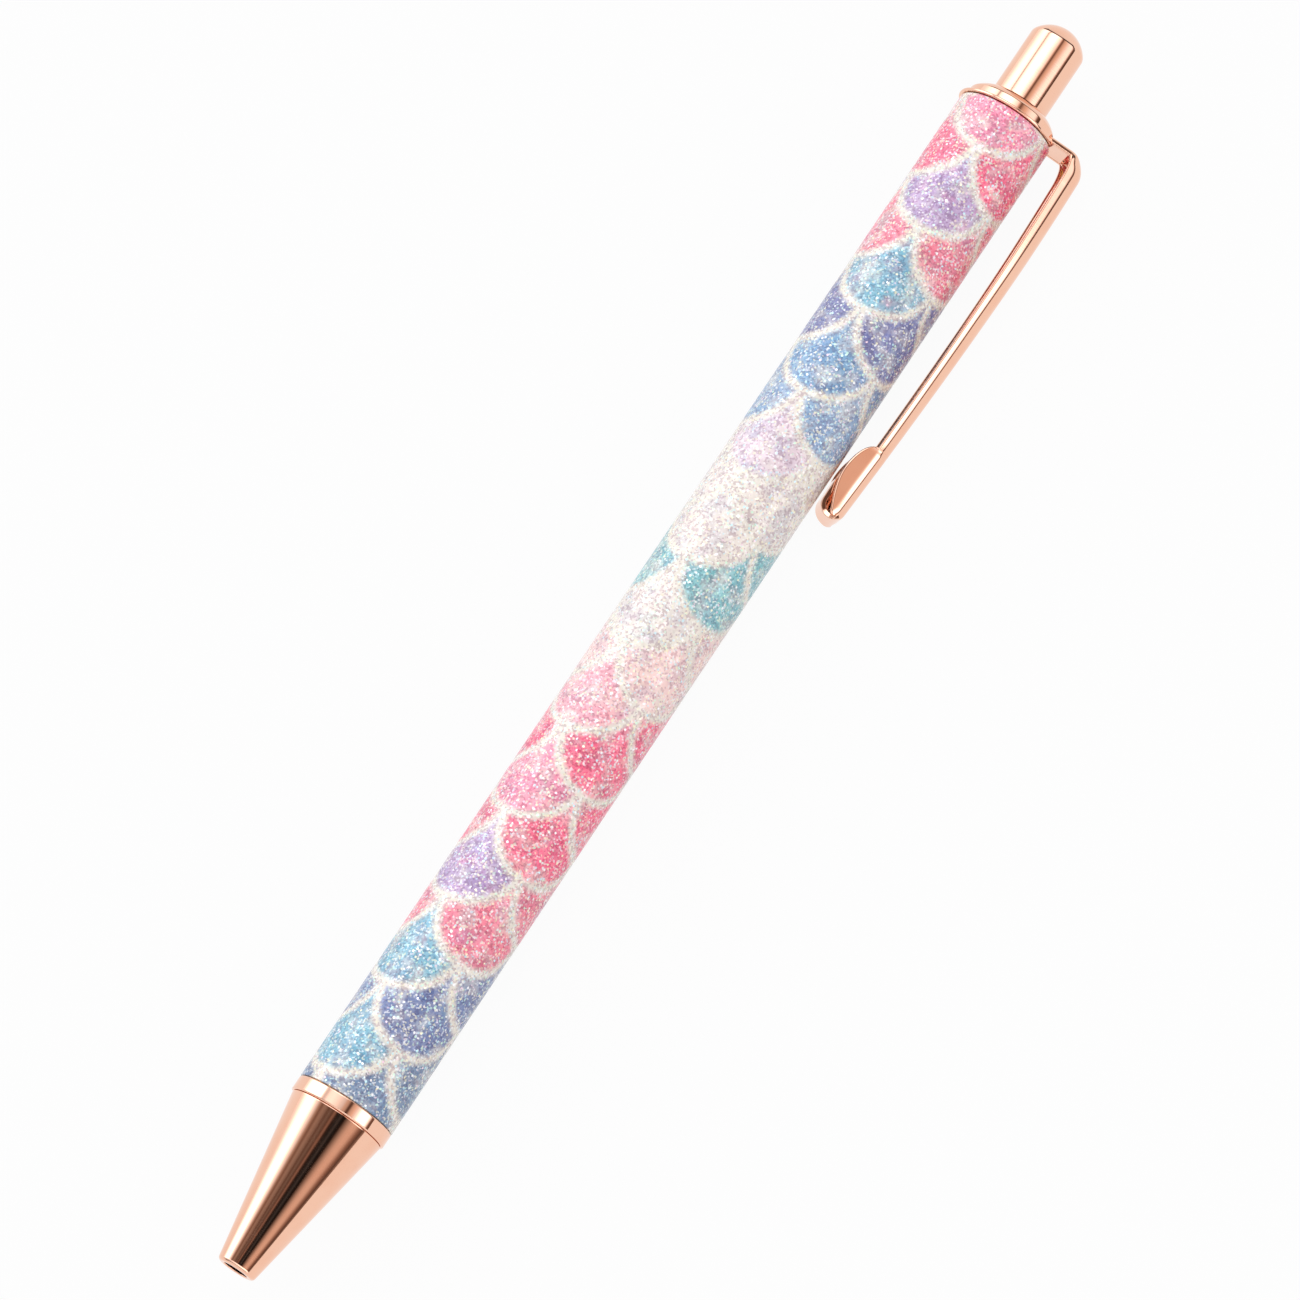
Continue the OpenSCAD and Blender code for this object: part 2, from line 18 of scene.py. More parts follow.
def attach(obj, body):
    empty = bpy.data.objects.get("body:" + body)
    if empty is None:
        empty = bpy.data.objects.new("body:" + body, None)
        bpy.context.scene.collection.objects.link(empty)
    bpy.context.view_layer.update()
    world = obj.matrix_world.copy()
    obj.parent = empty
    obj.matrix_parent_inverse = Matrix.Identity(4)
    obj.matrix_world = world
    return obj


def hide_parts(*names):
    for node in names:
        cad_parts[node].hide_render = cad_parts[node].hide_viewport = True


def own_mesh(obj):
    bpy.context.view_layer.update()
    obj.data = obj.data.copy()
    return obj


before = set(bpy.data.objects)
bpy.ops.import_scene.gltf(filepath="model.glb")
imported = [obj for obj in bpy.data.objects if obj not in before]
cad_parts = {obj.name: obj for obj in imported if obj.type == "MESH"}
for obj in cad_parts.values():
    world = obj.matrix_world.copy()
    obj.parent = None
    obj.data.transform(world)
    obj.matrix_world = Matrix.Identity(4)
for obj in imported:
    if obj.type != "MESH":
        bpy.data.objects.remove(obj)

LOG = logging.getLogger("gel_pen")
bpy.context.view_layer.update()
MM = 0.001
TAU = 2 * math.pi
QUARTER = math.pi / 2
WELD = 1e-7

Span = Tuple[float, float]
Corner = Tuple[float, float, float]
Colour = Tuple[float, float, float]
Band = Tuple[float, float, float, float]


# Small functions on arrays


def ease(t: np.ndarray) -> np.ndarray:
    """Smooth step of t: 0 below 0, 1 above 1, and 3t^2 - 2t^3 between."""
    u = np.clip(t, 0, 1)
    return u * u * (3 - 2 * u)


def round_off(t: np.ndarray) -> np.ndarray:
    """Drop of a quarter round, 1 - sqrt(1 - t^2): 0 at its start and 1 at its end."""
    u = np.clip(t, 0, 1)
    return 1 - np.sqrt(1 - u * u)


def circle(t: np.ndarray) -> np.ndarray:
    """Points (cos t, sin t) of the unit circle."""
    return np.stack([np.cos(t), np.sin(t)], 1)


def linear(red: float, green: float, blue: float) -> Colour:
    """Turns a colour of 0 to 255 as a screen shows it into linear light of 0 to 1, by the sRGB curve."""
    levels = np.array([red, green, blue]) / 255
    low, high = levels / 12.92, ((levels + 0.055) / 1.055) ** 2.4
    return tuple(float(v) for v in np.where(levels <= 0.04045, low, high))


def rounded(corners: Sequence[Corner], closed: bool, steps: int = 6, lead: float = 0.05) -> np.ndarray:
    """Profile with rounded corners.

    At each corner a circle of the given radius touches both sides; the corner is replaced by the arc
    between the two touching points, with one more point a short lead away on each side, so that the
    shading of the straight sides stays straight.

    Args:
        corners: (radius from the axis, height, rounding) of each corner, in order.
        closed: whether the last corner runs back to the first.
        steps: steps of each arc.
        lead: distance of the added points from the arc.

    Returns:
        Points of the profile, one row of (radius, height) each.
    """
    spots = np.array([c[:2] for c in corners], float)
    count = len(spots)
    path: List[np.ndarray] = []
    for i, (spot, (_, _, radius)) in enumerate(zip(spots, corners)):
        at_end = not closed and i in (0, count - 1)
        if at_end or radius <= 0:
            path.append(spot[None, :])
            continue
        back, on = spots[i - 1] - spot, spots[(i + 1) % count] - spot
        u, v = back / np.linalg.norm(back), on / np.linalg.norm(on)
        half = math.acos(float(np.clip(u @ v, -1, 1))) / 2
        cut = radius / math.tan(half)
        centre = spot + (u + v) / np.linalg.norm(u + v) * radius / math.sin(half)
        a, b = spot + u * cut - centre, spot + v * cut - centre
        turn = math.atan2(a[0] * b[1] - a[1] * b[0], float(a @ b))
        c, s = circle(np.linspace(0, turn, steps + 1)).T
        arc = centre + np.stack([a[0] * c - a[1] * s, a[0] * s + a[1] * c], 1)
        path += [(spot + u * (cut + lead))[None, :], arc, (spot + v * (cut + lead))[None, :]]
    return np.concatenate(path)


def lathe(profile: np.ndarray, turns: np.ndarray) -> np.ndarray:
    """Surface of revolution: each profile point (r, z) becomes (r cos a, r sin a, z) at each angle a.

    Args:
        profile: points of (radius, height).
        turns: angles about the axis, in radians.

    Returns:
        Grid of points, angles by profile points by three.
    """
    r, z = profile[None, :, 0], profile[None, :, 1]
    a = turns[:, None]
    return np.stack([r * np.cos(a), r * np.sin(a), z + 0 * a], axis=2)


def full_turn(count: int) -> np.ndarray:
    """Equal angles round the axis from minus half a turn, the last one step short of the first."""
    return -math.pi + TAU * np.arange(count) / count


# Pose and meshes


@dataclass(frozen=True)
class Layout:
    """Main sizes of the pen, shared by its pieces."""

    length: float = 143.2
    barrel_r: float = 5.0
    cone_top: float = 16.7
    ring_top: float = 18.2
    barrel_top: float = 132.0
    rim_r: float = 5.28
    clip_reach: float = 9.11
    clip_w: float = 4.5
    bend_r: float = 0.95


@dataclass(frozen=True)
class Pose:
    """How the upright drawing lies in the frame: on the collar's rim and on the edge of the clip."""

    half_length: float
    axis_y: float
    axis_h: float
    roll: float

    @classmethod
    def resting(cls, pen: Layout) -> "Pose":
        """Works out the roll at which rim and clip edge both touch the ground.

        Args:
            pen: main sizes of the pen.

        Returns:
            The pose of the pen at rest.
        """
        edge_x, edge_y = pen.clip_reach - pen.bend_r, pen.clip_w / 2 - pen.bend_r
        lift = math.asin((pen.rim_r - pen.bend_r) / math.hypot(edge_x, edge_y))
        roll = lift - math.atan2(edge_y, edge_x)
        side = edge_x * math.cos(roll) + edge_y * math.sin(roll) + pen.bend_r
        return cls(pen.length / 2, (side - pen.rim_r) / 2, pen.rim_r, roll)

    def place(self, points: np.ndarray) -> np.ndarray:
        """Turns points of the upright drawing, in millimetres, into points of the frame, in metres."""
        x, y, z = points[..., 0], points[..., 1], points[..., 2]
        c, s = math.cos(self.roll), math.sin(self.roll)
        laid = [z - self.half_length, self.axis_y - x * c + y * s, self.axis_h - x * s - y * c]
        return np.stack(laid, axis=-1) * MM


class Wrap(Enum):
    """Which directions of a grid close on themselves."""

    NONE = (False, False)
    ROWS = (True, False)
    BOTH = (True, True)


@dataclass
class Sheet:
    """One grid of points that becomes a mesh, with its own map where a pattern follows the surface."""

    points: np.ndarray
    wrap: Wrap = Wrap.BOTH
    chart: Optional[np.ndarray] = None
    sharp: float = 35.0

    @classmethod
    def bar(cls, sections: np.ndarray, sharp: float) -> "Sheet":
        """Closed sections one after another, with a face over each end."""
        return cls(np.concatenate([sections, sections[:, :1]], axis=1), Wrap.NONE, None, sharp)

    def corners(self, width: int, height: int, loose: bool) -> np.ndarray:
        """Indices of the four corners of each cell.

        Args:
            width: number of columns that the indices count.
            height: number of rows that the indices count.
            loose: whether the last row and column stand apart from the first, as in the chart.

        Returns:
            Four indices for each cell, in order round it.
        """
        rows, cols = self.points.shape[:2]
        round_rows, round_cols = self.wrap.value
        i = np.arange(rows - (not round_rows))[:, None]
        j = np.arange(cols - (not round_cols))[None, :]
        i_next, j_next = i + 1, j + 1
        if not loose:
            i_next, j_next = i_next % height, j_next % width
        cells = [i * width + j, i_next * width + j, i_next * width + j_next, i * width + j_next]
        return np.stack(np.broadcast_arrays(*cells), axis=2).reshape(-1, 4)

    def build(self, name: str, pose: Pose) -> bpy.types.Object:
        """Makes the mesh: merges poles and doubled points, turns the faces outward, shades them smooth.

        Args:
            name: name of the piece.
            pose: where the upright drawing lies.

        Returns:
            The new object, at the origin with its place in its mesh.
        """
        rows, cols = self.points.shape[:2]
        spots = pose.place(self.points).reshape(-1, 3)
        faces = self.corners(cols, rows, False)
        charted = None
        if self.chart is not None:
            height, width = self.chart.shape[:2]
            charted = self.chart.reshape(-1, 2)[self.corners(width, height, True)]
        p, q, r, s = (spots[faces[:, k]] for k in range(4))
        volume = np.einsum("ij,ij->", p, np.cross(q, r) + np.cross(r, s))
        if volume < 0:
            faces = faces[:, ::-1]
            charted = None if charted is None else charted[:, ::-1]
        polygons = faces.tolist()
        ends = self.wrap is Wrap.NONE
        if ends:
            first, last = list(range(cols)), list(range((rows - 1) * cols, rows * cols))
            polygons += [first, last[::-1]] if volume > 0 else [first[::-1], last]
        mesh = bpy.data.meshes.new(name)
        mesh.from_pydata(spots.tolist(), [], polygons)
        if charted is not None:
            layer = mesh.uv_layers.new(name="Chart")
            layer.data.foreach_set("uv", charted.reshape(-1).astype(np.float32))
        work = bmesh.new()
        work.from_mesh(mesh)
        bmesh.ops.remove_doubles(work, verts=work.verts, dist=WELD)
        if ends:
            bmesh.ops.recalc_face_normals(work, faces=work.faces)
        work.to_mesh(mesh)
        work.free()
        mesh.polygons.foreach_set("use_smooth", np.ones(len(mesh.polygons), bool))
        mesh.set_sharp_from_angle(angle=math.radians(self.sharp))
        mesh.update()
        piece = bpy.data.objects.new(name, mesh)
        bpy.context.scene.collection.objects.link(piece)
        return piece


# Shader maths


def operator(kind: str, swapped: bool = False) -> Callable[..., "Value"]:
    """Makes an operator of Value.

    Args:
        kind: operation of the Math node that the operator adds.
        swapped: whether the other number stands in front.

    Returns:
        The operator, as a method.
    """

    def apply(self: "Value", *others: Any) -> "Value":
        """Adds the Math node."""
        return self.tree.math(kind, *others, self) if swapped else self.math(kind, *others)

    return apply


class Value:
    """A number socket of a node tree, whose operators add Math nodes.

    A remainder is never below zero; a comparison is 1 where it holds, else 0.
    """

    __add__, __radd__ = operator("ADD"), operator("ADD", True)
    __sub__, __rsub__ = operator("SUBTRACT"), operator("SUBTRACT", True)
    __mul__, __rmul__ = operator("MULTIPLY"), operator("MULTIPLY", True)
    __truediv__, __mod__ = operator("DIVIDE"), operator("FLOORED_MODULO")
    __lt__, __gt__ = operator("LESS_THAN"), operator("GREATER_THAN")
    __abs__ = operator("ABSOLUTE")

    def __init__(self, tree: "Tree", socket: bpy.types.NodeSocket) -> None:
        """Wraps one output socket of the tree."""
        self.tree = tree
        self.socket = socket

    def math(self, operation: str, *others: Any) -> "Value":
        """Adds a Math node on this value and up to two others."""
        return self.tree.math(operation, self, *others)


class Tree:
    """Node tree of a material or world, emptied, with one method that adds any node."""

    def __init__(self, nodes: bpy.types.NodeTree) -> None:
        """Takes over a node tree and empties it."""
        self.nodes = nodes
        nodes.nodes.clear()

    def add(self, kind: str, settings: Optional[Dict[str, Any]] = None,
            sockets: Optional[Dict[Union[str, int], Any]] = None) -> bpy.types.Node:
        """Adds a node.

        Args:
            kind: type of the node, without its ShaderNode prefix.
            settings: properties, set first; "stops" is a ramp's list of (place, colour).
            sockets: value or link of each input, by name or index; a colour of three numbers is opaque.

        Returns:
            The new node.
        """
        node = self.nodes.nodes.new("ShaderNode" + kind)
        for key, value in (settings or {}).items():
            if key == "stops":
                self.set_stops(node.color_ramp, value)
            elif key == "interpolation":
                node.color_ramp.interpolation = value
            else:
                setattr(node, key, value)
        for key, value in (sockets or {}).items():
            socket = node.inputs[key]
            source = value.socket if isinstance(value, Value) else value
            if isinstance(source, bpy.types.NodeSocket):
                self.nodes.links.new(source, socket)
            else:
                socket.default_value = (*source, 1) if socket.type == "RGBA" else source
        return node

    @staticmethod
    def set_stops(ramp: bpy.types.ColorRamp, stops: Sequence[Tuple[float, Colour]]) -> None:
        """Gives a ramp its stops, in rising order of place."""
        while len(ramp.elements) > 1:
            ramp.elements.remove(ramp.elements[-1])
        ramp.elements[0].position, ramp.elements[0].color = stops[0][0], (*stops[0][1], 1)
        for place, colour in stops[1:]:
            ramp.elements.new(place).color = (*colour, 1)

    def math(self, operation: str, *values: Any) -> Value:
        """Adds a Math node on values and numbers."""
        return self.value(self.add("Math", {"operation": operation}, dict(enumerate(values))))

    def value(self, node: bpy.types.Node, output: Union[str, int] = 0) -> Value:
        """Output of a node as a value to reckon with."""
        return Value(self, node.outputs[output])

    def split(self, whole: bpy.types.NodeSocket, kind: str = "XYZ") -> List[Value]:
        """The three numbers of a vector, or of a colour where the kind is Color."""
        node = self.add("Separate" + kind, None, {0: whole})
        return [self.value(node, k) for k in range(3)]

    def mix(self, factor: Any, a: Any, b: Any, blend: str = "MIX") -> bpy.types.NodeSocket:
        """Mixes two colours by a factor and gives the mixed colour's socket."""
        sockets = {0: factor, 6: a, 7: b}
        return self.add("Mix", {"data_type": "RGBA", "blend_type": blend}, sockets).outputs[2]

    def vector(self, operation: str, *values: Any) -> bpy.types.NodeSocket:
        """Adds a Vector Math node and gives its vector output."""
        return self.add("VectorMath", {"operation": operation}, dict(enumerate(values))).outputs[0]

    def scaled(self, vector: Any, factor: float) -> bpy.types.NodeSocket:
        """Vector times a number."""
        return self.add("VectorMath", {"operation": "SCALE"}, {0: vector, "Scale": factor}).outputs[0]

    def step(self, value: Any, low: float, high: float) -> Value:
        """Rises smoothly from 0 at low to 1 at high."""
        sockets = {0: value, 1: low, 2: high, 3: 0.0, 4: 1.0}
        return self.value(self.add("MapRange", {"interpolation_type": "SMOOTHSTEP"}, sockets))

    def ramp(self, factor: Any, stops: Sequence[Tuple[float, Colour]],
             kind: str = "LINEAR") -> bpy.types.NodeSocket:
        """Colour of a ramp at a factor."""
        return self.add("ValToRGB", {"interpolation": kind, "stops": stops}, {0: factor}).outputs[0]

    def noise(self, place: Any, scale: float, detail: float = 2.0, kind: str = "3D",
              output: int = 0) -> Value:
        """Noise texture, its number or its colour; a 1D noise takes a number as its place."""
        sockets = {"W" if kind == "1D" else "Vector": place, "Scale": scale, "Detail": detail}
        return self.value(self.add("TexNoise", {"noise_dimensions": kind}, sockets), output)

    def object_mm(self) -> bpy.types.NodeSocket:
        """Object coordinates in millimetres."""
        return self.scaled(self.add("TexCoord").outputs["Object"], 1 / MM)

    def bump(self, height: Value, distance: float) -> bpy.types.NodeSocket:
        """Normal bent by a height, whose full size is a distance in millimetres."""
        sockets = {"Height": height, "Distance": distance * MM, "Strength": 1.0}
        return self.add("Bump", None, sockets).outputs[0]

    def surface(self, **sockets: Any) -> None:
        """Ends the tree in one principled surface; underscores in names stand for spaces."""
        named = {key.replace("_", " "): value for key, value in sockets.items()}
        shader = self.add("BsdfPrincipled", None, named)
        self.add("OutputMaterial", None, {"Surface": shader.outputs[0]})


# Finishes


MADE: Dict[str, bpy.types.Material] = {}


class Finish:
    """A material that is made once and shared by the pieces that have it.

    Scales of noises and cells count them in a millimetre. A span is where a mask starts and is full.
    """

    name = "finish"

    def material(self) -> bpy.types.Material:
        """Gives the material, and makes it the first time."""
        if self.name not in MADE:
            MADE[self.name] = bpy.data.materials.new(self.name)
            MADE[self.name].use_nodes = True
            self.paint(Tree(MADE[self.name].node_tree))
        return MADE[self.name]

    def paint(self, tree: Tree) -> None:
        """Fills the node tree; each finish has its own."""
        raise NotImplementedError

    def put(self, piece: bpy.types.Object) -> None:
        """Makes this the only material of a piece."""
        piece.data.materials.clear()
        piece.data.materials.append(self.material())


@dataclass(frozen=True)
class PolishedMetal(Finish):
    """Polished plate: a metal colour, fine marks of turning along the pen, and faint smudges."""

    name: str = "rose_gold_plate"
    colour: Colour = (0.92, 0.56, 0.41)
    deep: Colour = (0.91, 0.53, 0.38)
    gloss: float = 0.04
    smudge: float = 0.04
    smudge_scale: float = 0.45
    smudge_tint: Span = (0.35, 0.7)
    smudge_dull: Span = (0.4, 0.75)
    mark_pitch: float = 0.09
    mark_depth: float = 0.0006
    mark_dull: float = 0.02

    def paint(self, tree: Tree) -> None:
        """Smudges of about 2 mm change roughness and colour; turning marks are a noise along x alone."""
        place = tree.object_mm()
        smear = tree.noise(place, self.smudge_scale, 3.0)
        marks = tree.noise(tree.split(place)[0], 1 / self.mark_pitch, 1.0, "1D")
        dull = self.smudge * tree.step(smear, *self.smudge_dull)
        tree.surface(
            Base_Color=tree.mix(tree.step(smear, *self.smudge_tint), self.colour, self.deep),
            Metallic=1.0,
            Roughness=self.gloss + dull + self.mark_dull * marks,
            Normal=tree.bump(marks, self.mark_depth),
        )


class Tint(Enum):
    """Colours of the printed scales, as a screen shows them."""

    SLATE = (100, 132, 168)
    SKY = (112, 178, 200)
    PERIWINKLE = (102, 122, 172)
    CORAL = (244, 116, 142)
    LAVENDER = (186, 156, 200)
    HOT_PINK = (250, 88, 130)
    PINK = (250, 138, 168)
    ROSE = (250, 172, 184)
    SHELL = (248, 210, 204)
    CREAM = (236, 226, 216)
    PEARL = (228, 208, 216)
    SAND = (230, 224, 210)
    TEAL = (120, 190, 196)
    STEEL_BLUE = (128, 164, 200)
    BLUE = (108, 158, 198)
    INDIGO = (104, 110, 168)


SCALE_ORDER: Tuple[Tint, ...] = (
    Tint.SLATE, Tint.SKY, Tint.PERIWINKLE, Tint.SKY, Tint.CORAL, Tint.LAVENDER, Tint.HOT_PINK, Tint.PINK,
    Tint.HOT_PINK, Tint.ROSE, Tint.SHELL, Tint.CREAM, Tint.TEAL, Tint.CREAM, Tint.CREAM, Tint.PEARL,
    Tint.STEEL_BLUE, Tint.BLUE, Tint.INDIGO, Tint.SKY, Tint.CORAL, Tint.LAVENDER, Tint.HOT_PINK, Tint.PINK,
    Tint.HOT_PINK, Tint.CREAM, Tint.CREAM,
)
# Pale tints painted into the film's base colour as highlights of the glitter, for sparks and glints.
PAINTED_SPARK_TINTS: Tuple[Tuple[float, Colour], ...] = (
    (0.0, (1, 1, 1)), (0.40, (1, 0.95, 0.66)), (0.66, (0.62, 0.92, 1)), (0.82, (0.70, 1, 0.78)),
    (0.93, (1, 0.76, 0.86)),
)


@dataclass(frozen=True)
class GlitterFilm(Finish):
    """Clear-coated film printed with overlapping fish scales over a layer of glitter.

    The film's chart is in millimetres: across is the arc round the barrel from the clip's middle line,
    along is the height. Each scale is a circle; rows climb the barrel and are set off by half a pitch.
    Three clouds, each with a span and a share, wash a scale with the next row's tint, the pale edge and
    dusk. Pairs of glitter numbers are for coarse and fine flakes.
    """

    name: str = "printed_glitter_film"
    barrel_r: float = 5.0
    around: int = 3
    scale_r: float = 5.0
    row_h: float = 4.895
    row_start: float = 14.51
    face_angle: float = math.radians(-93.33)
    lead_in: float = 1.3
    drift: float = 0.0295
    drift_from: float = 25.0
    edge: Tint = Tint.SAND
    edge_span: Span = (0.02, 0.80)
    cloud_scale: float = 0.45
    clouds: Tuple[Tuple[float, float, float], ...] = ((0.5, 0.85, 0.35), (0.45, 0.75, 0.5), (0.42, 0.68, 0.5))
    dusk: Colour = (0.56, 0.56, 0.72)
    flakes: Span = (0.30, 0.16)
    ragged: Span = (0.22, 0.16)
    frost: Colour = (1.0, 0.97, 0.93)
    frost_share: float = 0.16
    dark: Colour = (0.52, 0.36, 0.46)
    dark_below: Span = (0.10, 0.20)
    dark_coarse: float = 0.8
    dark_share: float = 0.55
    # Painted highlight of fine sparks: which cells get a pale tint in their base colour, and how much.
    painted_spark_above: float = 0.82
    painted_spark_share: float = 0.52
    glint_above: float = 0.85
    glint_half: float = 0.40
    flake_tilt: float = 0.30
    flake_metal: Span = (0.3, 1.0)
    metal: float = 0.15
    glint_metal: float = 0.30
    dull: float = 0.42
    flake_gloss: float = 0.18
    coat: float = 0.25
    coat_dull: float = 0.10

    def row(self, across: Value, along: Value, row: Value) -> Tuple[Value, Value]:
        """Distance to the nearest scale centre of a row.

        Args:
            across: place round the barrel in the print.
            along: height above the start of the print.
            row: number of the row.

        Returns:
            The distance, and the number of that scale round the barrel.
        """
        pitch = TAU * self.barrel_r / self.around
        past = across + (row % 2.0) * (pitch / 2)
        column = (past / pitch).math("ROUND")
        aside = past - column * pitch
        above = along - row * self.row_h - self.scale_r
        return (aside * aside + above * above).math("SQRT"), column

    def scales(self, tree: Tree, chart: bpy.types.NodeSocket) -> Tuple[Value, Value]:
        """Finds the scale at each place.

        It is the nearest one of the place's own row where its circle covers the place, else that of the
        row below. A scale has the number of its row, but the second round the barrel has the number below.

        Args:
            tree: node tree of the film.
            chart: place on the film.

        Returns:
            The middle of the scale's number, and the distance from the nearest border of a scale.
        """
        arc, height, _ = tree.split(chart)
        across = arc - self.barrel_r * self.face_angle - self.lead_in
        across = across - self.drift * (height - self.drift_from)
        along = height - self.row_start
        low = (along / self.row_h).math("FLOOR")
        here, column_here = self.row(across, along, low)
        _, column_under = self.row(across, along, low - 1.0)
        over, _ = self.row(across, along, low + 1.0)
        inside = here < self.scale_r
        column = column_under + inside * (column_here - column_under)
        lower = abs(column % float(self.around) - 1.0) < 0.5
        number = (low - 1.0 + inside - lower) % float(len(SCALE_ORDER)) + 0.5
        return number, abs(here - self.scale_r).math("MINIMUM", over - self.scale_r)

    def printed(self, tree: Tree, chart: bpy.types.NodeSocket, number: Value) -> bpy.types.NodeSocket:
        """Tint of a scale under its clouds.

        Args:
            tree: node tree of the film.
            chart: place on the film.
            number: middle of the scale's number.

        Returns:
            The colour.
        """
        count = float(len(SCALE_ORDER))
        stops = [(i / count, linear(*tint.value)) for i, tint in enumerate(SCALE_ORDER)]
        tint = tree.ramp(number / count, stops, "CONSTANT")
        near = tree.ramp(((number + 1.0) % count) / count, stops, "CONSTANT")
        masks = tree.split(tree.noise(chart, self.cloud_scale, 2.0, "2D", 1), "Color")
        washes = ((near, "MIX"), (linear(*self.edge.value), "MIX"), (self.dusk, "MULTIPLY"))
        for mask, (low, high, share), (wash, blend) in zip(masks, self.clouds, washes):
            tint = tree.mix(tree.step(mask, low, high) * share, tint, wash, blend)
        return tint

    def paint(self, tree: Tree) -> None:
        """Prints the scales with their pale edges, then lays flakes over the colour.

        Flakes are cells with three random numbers: pick says which are dark or shine, level how much, hue
        in which colour. The shining cells are painted highlights: their base colour is mixed toward pale
        spark tints, and coarse glints also turn partly metallic. They make the borders ragged, and coarse
        ones tilt the normal.
        """
        chart = tree.add("UVMap", {"uv_map": "Chart"}).outputs[0]
        number, border = self.scales(tree, chart)
        tint = self.printed(tree, chart, number)
        coarse, fine = (
            tree.add("TexVoronoi", {"voronoi_dimensions": "2D"}, {"Vector": chart, "Scale": 1 / size})
            for size in self.flakes)
        (pick, level, hue), (fine_pick, fine_level, fine_hue) = (
            tree.split(cells.outputs["Color"], "Color") for cells in (coarse, fine))
        border = border + self.ragged[0] * (level - 0.5) + self.ragged[1] * (fine_level - 0.5)
        colour = tree.mix(tree.step(border, *self.edge_span), linear(*self.edge.value), tint)
        colour = tree.mix(fine_level * self.frost_share, colour, self.frost)
        shade = (pick < self.dark_below[0]) * self.dark_coarse
        shade = (fine_pick < self.dark_below[1]).math("MAXIMUM", shade)
        colour = tree.mix(shade * self.dark_share, colour, self.dark, "MULTIPLY")
        # Painted highlight: fine cells that shine get a pale spark tint mixed into the base colour.
        painted_spark = (fine_pick > self.painted_spark_above) * self.painted_spark_share
        colour = tree.mix(painted_spark, colour, tree.ramp(fine_hue, PAINTED_SPARK_TINTS, "CONSTANT"))
        # Painted highlight: coarse glint cells get a pale tint in the base colour; they also turn partly
        # metallic.
        glint = (pick > self.glint_above) * (tree.value(coarse, "Distance") < self.glint_half)
        glint = glint * (0.5 + 0.5 * level)
        colour = tree.mix(glint, colour, tree.ramp(hue, PAINTED_SPARK_TINTS, "CONSTANT"))
        tilt = tree.scaled(tree.vector("SUBTRACT", coarse.outputs["Color"], (0.5, 0.5, 0.5)), self.flake_tilt)
        normal = tree.add("NewGeometry").outputs["Normal"]
        tree.surface(
            Base_Color=colour,
            Metallic=self.metal * tree.step(level, *self.flake_metal) + self.glint_metal * glint,
            Roughness=self.dull - self.flake_gloss * level,
            Normal=tree.vector("NORMALIZE", tree.vector("ADD", normal, tilt)),
            Coat_Weight=self.coat,
            Coat_Roughness=self.coat_dull,
        )


@dataclass(frozen=True)
class TurnedMetal(Finish):
    """Plain turned metal: a colour, rings of the tool along the pen, and a soft polish."""

    name: str = "turned_brass"
    colour: Colour = (0.68, 0.46, 0.16)
    dull: Colour = (0.52, 0.34, 0.11)
    gloss: float = 0.26
    ring_pitch: float = 0.14
    ring_depth: float = 0.003
    ring_dull: float = 0.08
    tarnish_scale: float = 0.7
    tarnish_tint: Span = (0.4, 0.75)
    tarnish_dull: float = 0.12

    def paint(self, tree: Tree) -> None:
        """Rings are a noise along x alone; tarnish of about 1.5 mm changes colour and roughness."""
        place = tree.object_mm()
        rings = tree.noise(tree.split(place)[0], 1 / self.ring_pitch, 2.0, "1D")
        tarnish = tree.noise(place, self.tarnish_scale, 3.0)
        tree.surface(
            Base_Color=tree.mix(tree.step(tarnish, *self.tarnish_tint), self.colour, self.dull),
            Metallic=1.0,
            Roughness=self.gloss + self.tarnish_dull * tarnish + self.ring_dull * rings,
            Normal=tree.bump(rings, self.ring_depth),
        )


@dataclass(frozen=True)
class MouldedPlastic(Finish):
    """Moulded plastic: fine pebble of the mould, faint flow clouds, soft gloss."""

    name: str = "black_acetal"
    colour: Colour = (0.012, 0.012, 0.014)
    cloud: Colour = (0.020, 0.020, 0.022)
    gloss: float = 0.38
    pebble: float = 0.08
    depth: float = 0.004
    pebble_dull: float = 0.14
    flow_scale: float = 0.3

    def paint(self, tree: Tree) -> None:
        """Pebble is a fine noise that bends the normal; clouds of about 3 mm change the colour."""
        place = tree.object_mm()
        grain = tree.noise(place, 1 / self.pebble)
        tree.surface(
            Base_Color=tree.mix(tree.noise(place, self.flow_scale), self.colour, self.cloud),
            Roughness=self.gloss + self.pebble_dull * grain,
            Normal=tree.bump(grain, self.depth),
        )


@dataclass(frozen=True)
class ClearTube(Finish):
    """Translucent tube of the refill, with drawing lines along it."""

    name: str = "clear_tube"
    colour: Colour = (0.80, 0.85, 0.87)
    streak: Colour = (0.70, 0.76, 0.80)
    stretch: Tuple[float, float, float] = (0.03, 2.0, 2.0)
    gloss: float = 0.14
    streak_dull: float = 0.2
    clear: float = 0.38
    streak_clear: float = 0.14

    def paint(self, tree: Tree) -> None:
        """Drawing lines are a noise stretched along x; they change colour, roughness and clearness."""
        place = tree.add("Mapping", None, {"Vector": tree.object_mm(), "Scale": self.stretch}).outputs[0]
        lines = tree.noise(place, 1.0)
        tree.surface(
            Base_Color=tree.mix(lines, self.colour, self.streak),
            Roughness=self.gloss + self.streak_dull * lines,
            Alpha=self.clear + self.streak_clear * lines,
        )


